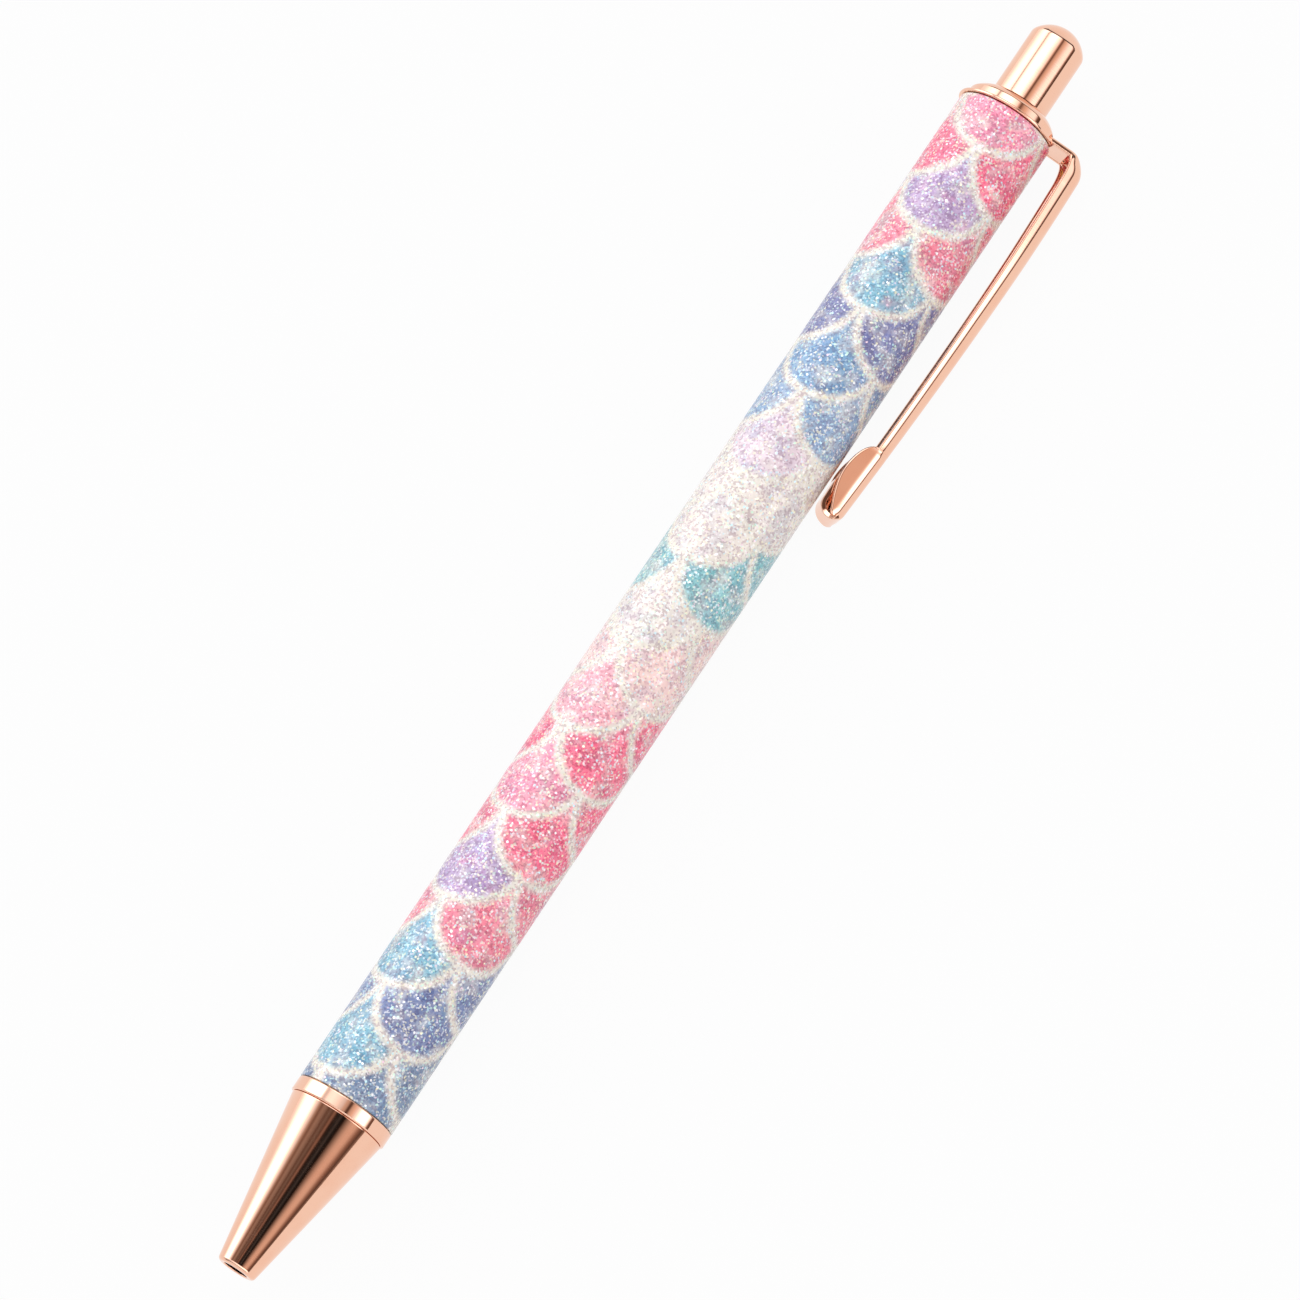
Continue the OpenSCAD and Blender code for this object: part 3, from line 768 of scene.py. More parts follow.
@dataclass(frozen=True)
class Filling(Finish):
    """Thick liquid in the tube: one colour that thins toward small bubbles."""

    name: str = "gel_ink"
    colour: Colour = (0.004, 0.004, 0.007)
    thin: Colour = (0.020, 0.018, 0.040)
    clear: float = 1.0
    cloud_scale: float = 0.5
    bubble_scale: float = 0.9
    bubble_edge: Span = (0.10, 0.16)
    gloss: float = 0.08
    bubble_dull: float = 0.1

    def paint(self, tree: Tree) -> None:
        """Bubbles are the middles of small cells; clouds of about 2 mm change the colour."""
        place = tree.object_mm()
        cloud = tree.noise(place, self.cloud_scale)
        cells = tree.add("TexVoronoi", None, {"Vector": place, "Scale": self.bubble_scale})
        bubble = 1.0 - tree.step(tree.value(cells, "Distance"), *self.bubble_edge)
        tree.surface(
            Base_Color=tree.mix(cloud.math("MAXIMUM", bubble), self.colour, self.thin),
            Roughness=self.gloss + self.bubble_dull * bubble,
            Alpha=self.clear,
        )


ROSE_GOLD = PolishedMetal()
FILM = GlitterFilm()
BRASS = TurnedMetal()
STEEL = TurnedMetal("stainless_steel", (0.56, 0.57, 0.60), (0.46, 0.47, 0.50), 0.18, 0.10, 0.0015)
BLACK = MouldedPlastic()
WHITE = MouldedPlastic("white_polypropylene", (0.74, 0.74, 0.71), (0.68, 0.68, 0.66), 0.42)
TUBE = ClearTube()
INK = Filling()
GREASE = Filling("amber_grease", (0.62, 0.50, 0.16), (0.72, 0.62, 0.30), 0.75)


# Pieces


@dataclass
class SubAssembly:
    """Pieces that are built, dressed and fixed to the bodies that carry them."""

    pose: Pose
    pen: Layout

    def fix(self, sheet: Sheet, name: str, finish: Finish, body: str, node: str,
            slot: str) -> bpy.types.Object:
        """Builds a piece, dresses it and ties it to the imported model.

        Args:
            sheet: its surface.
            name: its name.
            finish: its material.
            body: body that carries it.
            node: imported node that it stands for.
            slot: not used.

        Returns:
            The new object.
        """
        piece = sheet.build(name, self.pose)
        finish.put(piece)
        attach(piece, body)
        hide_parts(node)
        LOG.info("%s: %d faces on %s", piece.name, len(piece.data.polygons), body)
        return piece


@dataclass
class WritingEnd(SubAssembly):
    """Nose cone with its threaded spigot, trim ring, return spring and the point with its ball.

    Pairs of the point are (across, along). The crest's pair is the gain and the flat of the thread's wave.
    """

    sides: int = 144
    tip_r: float = 1.925
    hole_r: float = 1.25
    hole_lip: float = 0.3
    tip_round: float = 0.40
    shoulder_r: float = 4.825
    shoulder_round: float = 0.10
    seat_round: float = 0.05
    spigot_r: float = 3.55
    spigot_top: float = 25.7
    spigot_cut: float = 0.3
    thread_pitch: float = 0.75
    thread_depth: float = 0.36
    thread_steps: int = 14
    thread_start: float = 0.8
    thread_end: float = 0.5
    crest: Span = (1.25, 0.12)
    bore_r: float = 2.92
    wide_z: float = 14.72
    chamber_r: float = 2.495
    seat_z: float = 7.2
    throat_r: float = 1.87
    throat_z: float = 4.22
    throat_slope: float = 1.8
    throat_round: float = 0.1
    ring_in: float = 3.6
    ring_edge: float = 0.17
    seat_gap: float = 0.02
    ball_r: float = 0.35
    ball_z: float = 2.95
    ball_gap: float = 0.02
    point_r: float = 1.15
    point_front: float = 2.845
    point_lip: float = 0.42
    point_cone: float = 5.845
    point_end: float = 14.45
    point_cut: Span = (0.12, 0.15)
    neck_share: Span = (0.42, 0.45)
    neck_step: Span = (0.08, 0.04)
    neck_w: float = 0.12
    feed_r: float = 0.25
    coil_r: float = 2.2
    wire_r: float = 0.175
    coil_turns: int = 10
    coil_steps: int = 40
    wire_steps: int = 14
    coil_close: float = 0.35
    coil_top: float = 21.0
    coil_gap: float = 0.05
    feed: float = 5.78

    def build(self) -> None:
        """Builds every piece of the writing end."""
        self.nose()
        self.ring()
        self.spring()
        self.point()
        self.ball()

    def nose(self) -> None:
        """Cone of revolution; on the spigot the radius falls by a triangle wave of height minus turn."""
        soft, low, high = self.seat_round, self.pen.ring_top, self.spigot_top - self.spigot_cut
        span = high - low
        climb = low + span * np.linspace(0, 1, int(span / self.thread_pitch * self.thread_steps))
        thread = np.stack([np.full_like(climb, self.spigot_r), climb], 1)
        inside = rounded([
            (self.spigot_r, high, 0), (self.spigot_r - self.spigot_cut, self.spigot_top, soft),
            (self.bore_r, self.spigot_top, soft), (self.bore_r, self.wide_z, soft),
            (self.chamber_r, self.wide_z, soft), (self.chamber_r, self.seat_z, soft),
            (self.throat_r, self.seat_z, soft), (self.throat_r, self.throat_z, self.throat_round),
            (self.hole_r, self.throat_z - self.throat_slope, self.throat_round),
            (self.hole_r, self.hole_lip, 0),
        ], closed=False)
        outside = rounded([
            (self.hole_r, self.hole_lip, 0), (self.hole_r, 0, self.throat_round),
            (self.tip_r, 0, self.tip_round),
            (self.shoulder_r, self.pen.cone_top, self.shoulder_round),
            (self.spigot_r, self.pen.cone_top, soft), (self.spigot_r, low, 0),
        ], closed=False)
        turns = full_turn(self.sides)
        grid = lathe(np.concatenate([outside, thread, inside]), turns)
        wave = climb[None, :] / self.thread_pitch - turns[:, None] / TAU
        crest = np.abs(2 * (wave - np.floor(wave)) - 1)
        fade = ease((climb - low) / self.thread_start) * ease((high - climb) / self.thread_end)
        gain, flat = self.crest
        cut = self.spigot_r - self.thread_depth * np.clip(gain * crest - flat, 0, 1) * fade[None, :]
        band = slice(len(outside), len(outside) + len(climb))
        grid[:, band, 0] = cut * np.cos(turns)[:, None]
        grid[:, band, 1] = cut * np.sin(turns)[:, None]
        self.fix(Sheet(grid, sharp=32), "nose_shell", ROSE_GOLD, "nose", "nose_cone", "rose_gold")

    def ring(self) -> None:
        """Trim ring: a rectangle with rounded edges turned about the axis, a hair clear of the shoulder."""
        low, high, out = self.pen.cone_top + self.seat_gap, self.pen.ring_top, self.pen.barrel_r
        profile = rounded([
            (self.ring_in, low, self.seat_round), (out, low, self.ring_edge),
            (out, high, self.ring_edge), (self.ring_in, high, self.seat_round),
        ], closed=True)
        grid = lathe(profile, full_turn(self.sides))
        self.fix(Sheet(grid), "trim_ring", ROSE_GOLD, "nose_carrier", "nose_ring", "rose_gold")

    def spring(self) -> None:
        """Wire tube on a helix whose pitch is least at both ends."""
        low = self.seat_z + self.coil_gap + self.wire_r
        high = self.coil_top - self.coil_gap - self.wire_r
        t = np.linspace(0, 1, self.coil_turns * self.coil_steps + 1)
        a = TAU * self.coil_turns * t
        z = low + (high - low) * (t - self.coil_close * np.sin(TAU * t) / TAU)
        b = TAU * np.arange(self.wire_steps) / self.wire_steps
        r = self.coil_r + self.wire_r * np.cos(b)[None, :]
        rise = z[:, None] + self.wire_r * np.sin(b)[None, :]
        grid = np.stack([r * np.cos(a)[:, None], r * np.sin(a)[:, None], rise], axis=2)
        piece = self.fix(Sheet.bar(grid, 50), "coil_spring", STEEL, "nose_carrier", "return_spring", "steel")
        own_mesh(piece)

    def point(self) -> None:
        """Point turned in steps: lip round the ball, two cones with a shallow groove, and a shank."""
        front, end, socket = self.point_front, self.point_end, self.ball_r + self.ball_gap
        neck_r = self.point_lip + self.neck_share[0] * (self.point_r - self.point_lip)
        neck = front + self.neck_share[1] * (self.point_cone - front)
        groove = neck + self.neck_w
        profile = rounded([
            (self.feed_r, end, 0), (self.feed_r, self.ball_z + socket, 0.03),
            (socket, self.ball_z + 0.1, 0.03), (socket, front + 0.03, 0.02),
            (socket + 0.02, front, 0.02), (self.point_lip, front, 0.02),
            (neck_r, neck, 0.05), (neck_r, groove, 0.03),
            (neck_r + self.neck_step[0], groove + self.neck_step[1], 0.02),
            (self.point_r, self.point_cone, 0.15), (self.point_r, end - self.point_cut[1], 0.05),
            (self.point_r - self.point_cut[0], end, 0.03),
        ], closed=True, steps=4, lead=0.01)
        self.fix(Sheet(lathe(profile, full_turn(96))), "turned_point", STEEL, "refill", "point", "steel")

    def ball(self) -> None:
        """Ball: a half circle turned about the axis."""
        profile = np.array([0, self.ball_z]) + self.ball_r * circle(np.linspace(-QUARTER, QUARTER, 33))
        profile[[0, -1], 0] = 0
        sheet = Sheet(lathe(profile, full_turn(48)), Wrap.ROWS)
        self.fix(sheet, "carbide_ball", STEEL, "refill", "writing_ball", "steel")


@dataclass
class Barrel(SubAssembly):
    """Film sleeve round the tube, and the domed collar with the notch for the clip's strap.

    The band's lean is (across, along).
    """

    film_in: float = 4.72
    film_edge: float = 0.10
    film_gap: float = 0.04
    film_sides: int = 180
    rise: float = 0.05
    rim_h: float = 0.3
    rim_in: float = 0.05
    rim_round: float = 0.12
    band_r: float = 4.9
    band_taper: float = 0.13
    band_step: float = 0.04
    band_round: float = 0.08
    band_top: float = 133.25
    band_lean: Span = (0.05, 0.4)
    band_soft: float = 0.4
    crown_r: float = 4.66
    crown_bow: float = 2.6
    crown_steps: int = 24
    crown_from: int = 6
    collar_top: float = 134.2
    hole_r: float = 3.0
    hole_edge: float = 0.15
    flange_in: float = 4.7
    flange_top: float = 132.45
    bush_in: float = 4.2
    pocket_top: float = 133.25
    notch_half: float = 2.4
    notch_top: float = 133.15
    notch_steps: int = 24
    collar_steps: int = 149

    def build(self) -> None:
        """Builds the sleeve and the collar."""
        self.sleeve()
        self.collar()

    def sleeve(self) -> None:
        """Tube with rounded ends; its chart is arc length round the barrel by height."""
        low, high, out = self.pen.ring_top + self.film_gap, self.pen.barrel_top, self.pen.barrel_r
        profile = rounded([
            (self.film_in, low, 0), (out, low, self.film_edge),
            (out, high, self.film_edge), (self.film_in, high, 0),
        ], closed=True, steps=4)
        turns = full_turn(self.film_sides)
        lines = np.append(turns, math.pi)
        heights = np.append(profile[:, 1], profile[0, 1])
        chart = np.stack(np.broadcast_arrays(out * lines[:, None], heights[None, :]), axis=2)
        sheet = Sheet(lathe(profile, turns), chart=chart)
        self.fix(sheet, "film_sleeve", FILM, "barrel", "glitter_wrap", "glitter_film")

    def profile(self) -> Tuple[np.ndarray, float]:
        """Collar's profile: rounded rim, near-upright band, bowed crown, hole, and the pocket inside.

        The crown is the arc of a circle from the band's top to the hole; a rounding takes the place of
        its first steps.

        Returns:
            Points of (radius, height), and the radius of the crown at the notch's roof.
        """
        low = self.pen.barrel_top + self.rise
        high, crown = low + self.rim_h, self.hole_r + self.hole_edge
        rim = rounded([
            (self.flange_in + self.rim_in, low, 0),
            (self.pen.rim_r, low, self.rim_round), (self.pen.rim_r, high, self.rim_round),
            (self.band_r - self.band_taper, high + self.band_step, self.band_round),
            (self.crown_r, self.band_top, 0),
        ], closed=False, lead=0.03)[:-1]
        start, stop = np.array([self.crown_r, self.band_top]), np.array([crown, self.collar_top])
        way = stop - start
        side = np.array([way[1], -way[0]]) / np.linalg.norm(way)
        hub = (start + stop) / 2 - side * math.sqrt(self.crown_bow ** 2 - float(way @ way) / 4)
        ends = [math.atan2(p[1] - hub[1], p[0] - hub[0]) for p in (start, stop)]
        bowed = hub + self.crown_bow * circle(np.linspace(ends[0], ends[1], self.crown_steps + 1))
        bowed = bowed[self.crown_from:]
        lean, drop = self.band_lean
        kink = rounded([
            (self.crown_r + lean, self.band_top - drop, 0), (self.crown_r, self.band_top, self.band_soft),
            (*bowed[0], 0),
        ], closed=False, steps=8, lead=0.02)[1:-1]
        dome = np.concatenate([kink, bowed])
        edge = np.array([crown, self.collar_top - self.hole_edge])
        edge = edge + self.hole_edge * circle(np.linspace(QUARTER, math.pi, 7)[1:])
        under = np.array([[self.hole_r, self.pocket_top], [self.bush_in, self.pocket_top],
                          [self.bush_in, self.flange_top], [self.flange_in, self.flange_top],
                          [self.flange_in, low]])
        roof_r = np.interp(self.notch_top, dome[:, 1], dome[:, 0])
        return np.concatenate([rim, dome, edge, under]), float(roof_r)

    def collar(self) -> None:
        """Collar's profile turned about the axis.

        Between the two notch angles the same profile is lifted to the notch's roof, and the angles are
        doubled there, so that the steps between the two profiles are the notch's walls.
        """
        whole, roof_r = self.profile()
        lifted = whole.copy()
        below = lifted[:, 1] < self.notch_top
        lifted[below, 0] = np.clip(lifted[below, 0], self.bush_in, roof_r)
        lifted[below, 1] = self.notch_top
        reach = math.asin(self.notch_half / self.pen.barrel_r)
        open_turns = np.linspace(-reach, reach, self.notch_steps + 1)
        shut_turns = np.linspace(reach, TAU - reach, self.collar_steps + 1)
        grid = np.concatenate([lathe(lifted, open_turns), lathe(whole, shut_turns)])
        self.fix(Sheet(grid, sharp=30), "domed_collar", ROSE_GOLD, "barrel", "top_collar", "rose_gold")


@dataclass
class PocketClip(SubAssembly):
    """Clip pressed from sheet: strap, shoulder, channel-shaped arm, half-moon foot with a closed end."""

    sheet: float = 0.5
    strap_top: float = 133.0
    strap_lip: float = 0.05
    tab_r: float = 4.25
    shoulder_r: float = 2.05
    lower_end: float = 89.7
    bow_z: float = 122.0
    bow_in: float = 0.12
    lean: float = 1.2
    lean_power: float = 1.6
    foot_top: float = 97.9
    foot_depth: float = 1.36
    arm_depth: float = 1.85
    crest_z: float = 94.292
    crest_r: float = 5.3
    end_round: float = 1.15
    toe_half: float = 1.45
    toe_taper: float = 1.8
    toe_x: float = 5.3
    toe_round: float = 1.5
    toe_top: float = 93.4
    toe_edge: float = 0.07
    toe_sheet: float = 0.48
    lobe_x: float = 6.69
    lobe_z: float = 89.91
    lobe_power: float = 1.7
    flange_z: float = 90.05
    fillet_x: float = 0.65
    fillet_z: float = 2.8
    lip_round: float = 0.2
    lip_share: float = 0.45
    lip_room: float = 0.5
    strap_half: float = 2.25
    lip_half: float = 2.4
    foot_bend: float = 1.35
    arm_bend: float = 1.9
    bend_share: float = 0.9
    inner_share: float = 0.8
    inner_least: float = 0.02
    deep_from: float = 0.6
    deep_run: float = 0.8
    splay: float = 0.36
    plate_splay: float = 0.10
    crease_q: float = 1.1
    crease_half: float = 0.19
    plate_z: Span = (97.2, 98.6)
    end_share: float = 0.97

    def face(self, z: np.ndarray) -> np.ndarray:
        """Outer face: a reach that leans in by a power of the way down and rounds off at the lower end."""
        turn_z = self.strap_top - self.shoulder_r
        down = np.maximum(0, self.bow_z - z) / (self.bow_z - self.lower_end)
        up = np.maximum(0, z - self.bow_z) / (turn_z - self.bow_z)
        end = round_off((self.lower_end + self.end_round - z) / self.end_round)
        leaned = self.pen.clip_reach - self.lean * down ** self.lean_power
        return leaned - self.bow_in * up ** 2 - self.end_round * end

    def inner(self, z: np.ndarray) -> np.ndarray:
        """Inner edge of the flanges: a depth that grows up the arm, then a quarter ellipse and a power."""
        turn_z = self.strap_top - self.shoulder_r
        run = np.maximum(0, (z - self.foot_top) / (turn_z - self.foot_top))
        arm = self.face(z) - self.foot_depth - (self.arm_depth - self.foot_depth) * run
        root = float(self.face(np.array(self.foot_top))) - self.foot_depth
        bulge = np.sqrt(np.maximum(0, 1 - ((z - self.crest_z) / (self.foot_top - self.crest_z)) ** 2))
        upper = root - (root - self.crest_r) * bulge
        below = np.maximum(0, self.crest_z - z) / (self.crest_z - self.lobe_z)
        lower = self.crest_r + (self.lobe_x - self.crest_r) * below ** self.lobe_power
        return np.where(z >= self.foot_top, arm, np.where(z > self.crest_z, upper, lower))

    def section(self, half: np.ndarray, depth: np.ndarray, bend: np.ndarray, lip: np.ndarray,
                splay: np.ndarray, fold: np.ndarray) -> np.ndarray:
        """Channel's section at each station: web, rounded bends, splayed flanges with rounded lips.

        From the middle of the web it runs out along the outer face, round an arc that ends at the slope of
        the flange, down the flange, whose slope turns from splay to fold in a soft crease, round the lip,
        back up the inside and round the inner bend; the other half is its mirror image.

        Args:
            half: half width over the lips at each station.
            depth: depth of the flanges at each station.
            bend: outer radius of the bends at each station.
            lip: radius of the lip's edges at each station.
            splay: sideways run of the flanges for each unit of depth, above the crease.
            fold: the same below the crease.

        Returns:
            Points of (across, depth), stations by points round the section.
        """
        d, b, e, k, m = (v[:, None] for v in (depth, bend, lip, splay, fold))
        tilt = np.arctan(k)
        thick, n = self.sheet / np.cos(tilt), self.sheet
        turned = b * (1 - np.sin(tilt))
        low, t = self.crease_q - self.crease_half, self.crease_half

        def run(q: np.ndarray) -> np.ndarray:
            """Sideways run of the flange from the end of the arc to a depth q."""
            soft = np.clip(q - low, 0, 2 * t)
            return k * (q - turned) + (m - k) * (soft * soft / (4 * t) + np.maximum(0, q - low - 2 * t))

        h = half[:, None] - run(d)
        inner = np.clip(np.minimum(b - n, self.inner_share * (d - n)), self.inner_least, None)
        turn = np.linspace(0, 1, 19)[None, :] * (QUARTER - tilt)
        small, quarter = (np.linspace(0, QUARTER, count)[None, :] for count in (7, 9))
        spread = np.linspace(1 - self.end_share, self.end_share, 16)[None, :]
        halves = np.array([[0, 0.5, self.end_share]])
        web = (h - b * np.cos(tilt)) * halves
        side = turned + (d - e - turned) * spread
        tip_out, tip_in = d - e + e * np.sin(small), d - e + e * np.cos(small)
        back = d - e + (n + inner - d + e) * spread
        bowl = n + inner - inner * np.sin(quarter)
        floor = (h - thick - inner) * halves[:, ::-1]
        curl = h - thick - inner + inner * np.cos(quarter)
        path = [
            (web, 0 * web),
            (h - b * np.cos(tilt) + b * np.sin(turn), b - b * np.cos(turn)),
            (h + run(side), side),
            (h - e + e * np.cos(small) + run(tip_out), tip_out),
            (h - thick + e - e * np.sin(small) + run(tip_in), tip_in),
            (h - thick + run(back), back),
            (curl + run(bowl) * curl / (h - thick), bowl),
            (floor * (1 + run(n + 0 * d) / (h - thick)), n + 0 * floor),
        ]
        right = np.stack([np.concatenate(v, axis=1) for v in zip(*path)], axis=2)
        left = (right * np.array([-1, 1]))[:, ::-1][:, 1:-1]
        return np.concatenate([right, left], axis=1)

    def shoulder(self) -> Tuple[np.ndarray, np.ndarray]:
        """Strap and shoulder, down to the top of the arm.

        The outer face is a straight, a quarter circle and the start of the arm; the flanges' edge follows
        the strap's underside and then a quarter ellipse that joins the arm's inner edge.

        Returns:
            Outer points and edge points of the stations, each (distance from the axis, height).
        """
        turn_z = self.strap_top - self.shoulder_r
        turn_x = float(self.face(np.array(turn_z))) - self.shoulder_r
        arm_z = self.arm_top()
        edge_x = float(self.inner(np.array(arm_z)))
        strap_x = edge_x - self.fillet_x
        quarter = QUARTER * self.shoulder_r
        bend_l = turn_x - strap_x + quarter + turn_z - arm_z
        flat = np.linspace(self.tab_r, strap_x, 8)[:-1]
        lead = np.linspace(strap_x, turn_x, 10)[:-1]
        angle = np.linspace(QUARTER, 0, 33)[:-1]
        drop = np.linspace(turn_z, arm_z, 16)[:-1]
        straight = np.concatenate([flat, lead])
        outer = np.concatenate([
            np.stack([straight, 0 * straight + self.strap_top], 1),
            np.array([turn_x, turn_z]) + self.shoulder_r * circle(angle),
            np.stack([self.face(drop), drop], 1),
        ])
        arc = turn_x - strap_x + quarter * (1 - angle / QUARTER)
        run = QUARTER * (np.concatenate([lead - strap_x, arc, bend_l - (drop - arm_z)]) / bend_l)
        fillet_x = edge_x - self.fillet_x * (1 - np.sin(run))
        fillet = np.stack([fillet_x, arm_z + self.fillet_z * np.cos(run)], 1)
        strap_edge = np.stack([flat, 0 * flat + self.strap_top - self.sheet - self.strap_lip], 1)
        return outer, np.concatenate([strap_edge, fillet])

    def arm_top(self) -> float:
        """Height at which the fillet under the strap joins the arm."""
        return self.strap_top - self.sheet - self.strap_lip - self.fillet_z

    def arm(self) -> Tuple[np.ndarray, np.ndarray]:
        """Arm and half-moon foot, down to the lower edge of the flanges.

        Returns:
            Outer points and edge points of the stations, each (distance from the axis, height).
        """
        turn = np.linspace(0, QUARTER, 30)
        arm = np.linspace(self.arm_top(), self.foot_top, 60)[:-1]
        foot = self.crest_z + (self.foot_top - self.crest_z) * np.cos(turn)[:-1]
        toe = self.crest_z + (self.flange_z - self.crest_z) * np.sin(turn)
        z = np.unique(np.concatenate([arm, foot, toe]))[::-1]
        return np.stack([self.face(z), z], 1), np.stack([self.inner(z), z], 1)

    def toe(self) -> Tuple[np.ndarray, np.ndarray]:
        """Turned-in end of the web: a quarter circle, a second one back up, a straight beside the barrel.

        Returns:
            Outer points and edge points of the stations, each (distance from the axis, height).
        """
        hub_z = self.lower_end + self.end_round
        hub = np.array([float(self.face(np.array(hub_z))) - self.end_round, hub_z])
        begin = math.asin((hub_z - self.flange_z) / self.end_round)
        t, u = np.linspace(begin, QUARTER, 16), np.linspace(0, QUARTER, 24)
        far = np.array([self.toe_x + self.toe_round, self.lower_end + self.toe_round])
        rise = np.linspace(far[1], self.toe_top, 10)[1:]
        first, second = np.stack([-np.cos(t), np.sin(t)], 1), np.stack([np.sin(u), np.cos(u)], 1)
        outer = np.concatenate([
            np.array([[hub[0] + self.end_round * math.cos(begin), self.flange_z]]),
            hub - self.end_round * first, far - self.toe_round * second,
            np.stack([0 * rise + self.toe_x, rise], 1),
        ])
        across = np.array([[1.0, 0.0]])
        ways = np.concatenate([-across, first, second, np.tile(across, (len(rise), 1))])
        return outer, outer + self.toe_sheet * ways

    def build(self) -> None:
        """Carries the channel's section along the clip, from the tab to the turned-in end."""
        parts = [self.shoulder(), self.arm(), self.toe()]
        outer, edge = (np.concatenate([part[k] for part in parts]) for k in range(2))
        inward = edge - outer
        depth = np.linalg.norm(inward, axis=1)
        inward /= depth[:, None]
        low, high = self.plate_z
        grow = ease((outer[:, 1] - low) / (high - low))
        deep = ease((depth - self.deep_from) / self.deep_run)
        splay = self.splay * deep
        fold = (self.plate_splay + (self.splay - self.plate_splay) * grow) * deep
        bend = self.foot_bend + (self.arm_bend - self.foot_bend) * grow
        room = self.bend_share * (depth - self.lip_round)
        bend = np.minimum(bend, room / (1 - np.sin(np.arctan(splay))))
        half = self.strap_half + (self.lip_half - self.strap_half) * deep
        lip = np.minimum(self.lip_round, self.lip_share * (depth - self.lip_room * bend))
        last = len(parts[2][0])
        splay[-last:], fold[-last:], bend[-last:], lip[-last:] = 0, 0, self.toe_edge, self.toe_edge
        taper = 1 - ease(np.linspace(0, self.toe_taper, last))
        half[-last:] = self.toe_half + (self.strap_half - self.toe_half) * taper
        ring = self.section(half, depth, bend, lip, splay, fold)
        x, z = (outer[:, None, k] + ring[:, :, 1] * inward[:, None, k] for k in range(2))
        grid = np.stack([x, ring[:, :, 0], z], axis=2)
        self.fix(Sheet.bar(grid, 40), "pressed_clip", ROSE_GOLD, "clip", "clip", "rose_gold")


@dataclass
class PushButton(SubAssembly):
    """Cap of the push button: a thin tube with a domed top."""

    sides: int = 144
    button_r: float = 2.88
    dome_r: float = 3.25
    dome_from: float = 0.12
    dome_steps: int = 39
    low_z: float = 127.95
    bore_r: float = 2.4
    roof: float = 1.9
    crease: float = 0.9

    def build(self) -> None:
        """Tube and dome turned about the axis: part of a sphere meets the tube at a crease."""
        top = self.pen.length
        centre = top - self.dome_r
        start = math.acos(self.button_r / self.dome_r)
        turn = np.linspace(start + self.dome_from, QUARTER, self.dome_steps + 1)
        dome = np.array([0, centre]) + self.dome_r * circle(turn)
        dome[-1, 0] = 0
        meet = centre + self.dome_r * math.sin(start)
        tube = rounded([
            (0, top - self.roof, 0), (self.bore_r, top - self.roof, 0.1), (self.bore_r, self.low_z, 0.05),
            (self.button_r, self.low_z, 0.1), (self.button_r, meet, self.crease), (*dome[0], 0),
        ], closed=False, lead=0.03)
        sheet = Sheet(lathe(np.concatenate([tube, dome[1:]]), full_turn(self.sides)), Wrap.ROWS)
        self.fix(sheet, "button_cap", ROSE_GOLD, "button", "push_button", "rose_gold")


@dataclass
class Works:
    """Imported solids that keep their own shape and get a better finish."""

    finishes: Dict[str, Finish] = field(default_factory=lambda: {
        "barrel_tube": BRASS, "thread_bush": BRASS, "top_bush": BRASS,
        "cam_sleeve": BLACK, "rotor": BLACK,
        "plunger": WHITE, "tip_holder": WHITE, "tail_plug": WHITE,
        "refill_tube": TUBE, "gel_ink": INK, "ink_follower": GREASE,
    })

    def dress(self) -> None:
        """Gives each solid its finish."""
        for node, finish in self.finishes.items():
            finish.put(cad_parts[node])
            LOG.info("%s: finished as %s", node, finish.name)


# Studio


class Glow(Enum):
    """Tints of the light that the strips give."""

    PLAIN = (1.0, 1.01, 1.05)
    WARM = (1.0, 0.76, 0.64)
    DEEP = (1.0, 0.62, 0.48)


@dataclass(frozen=True)
class Stop:
    """Light of a strip at one angle, in degrees round the pen from the camera's side."""

    angle: float
    level: float
    glow: Glow = Glow.PLAIN


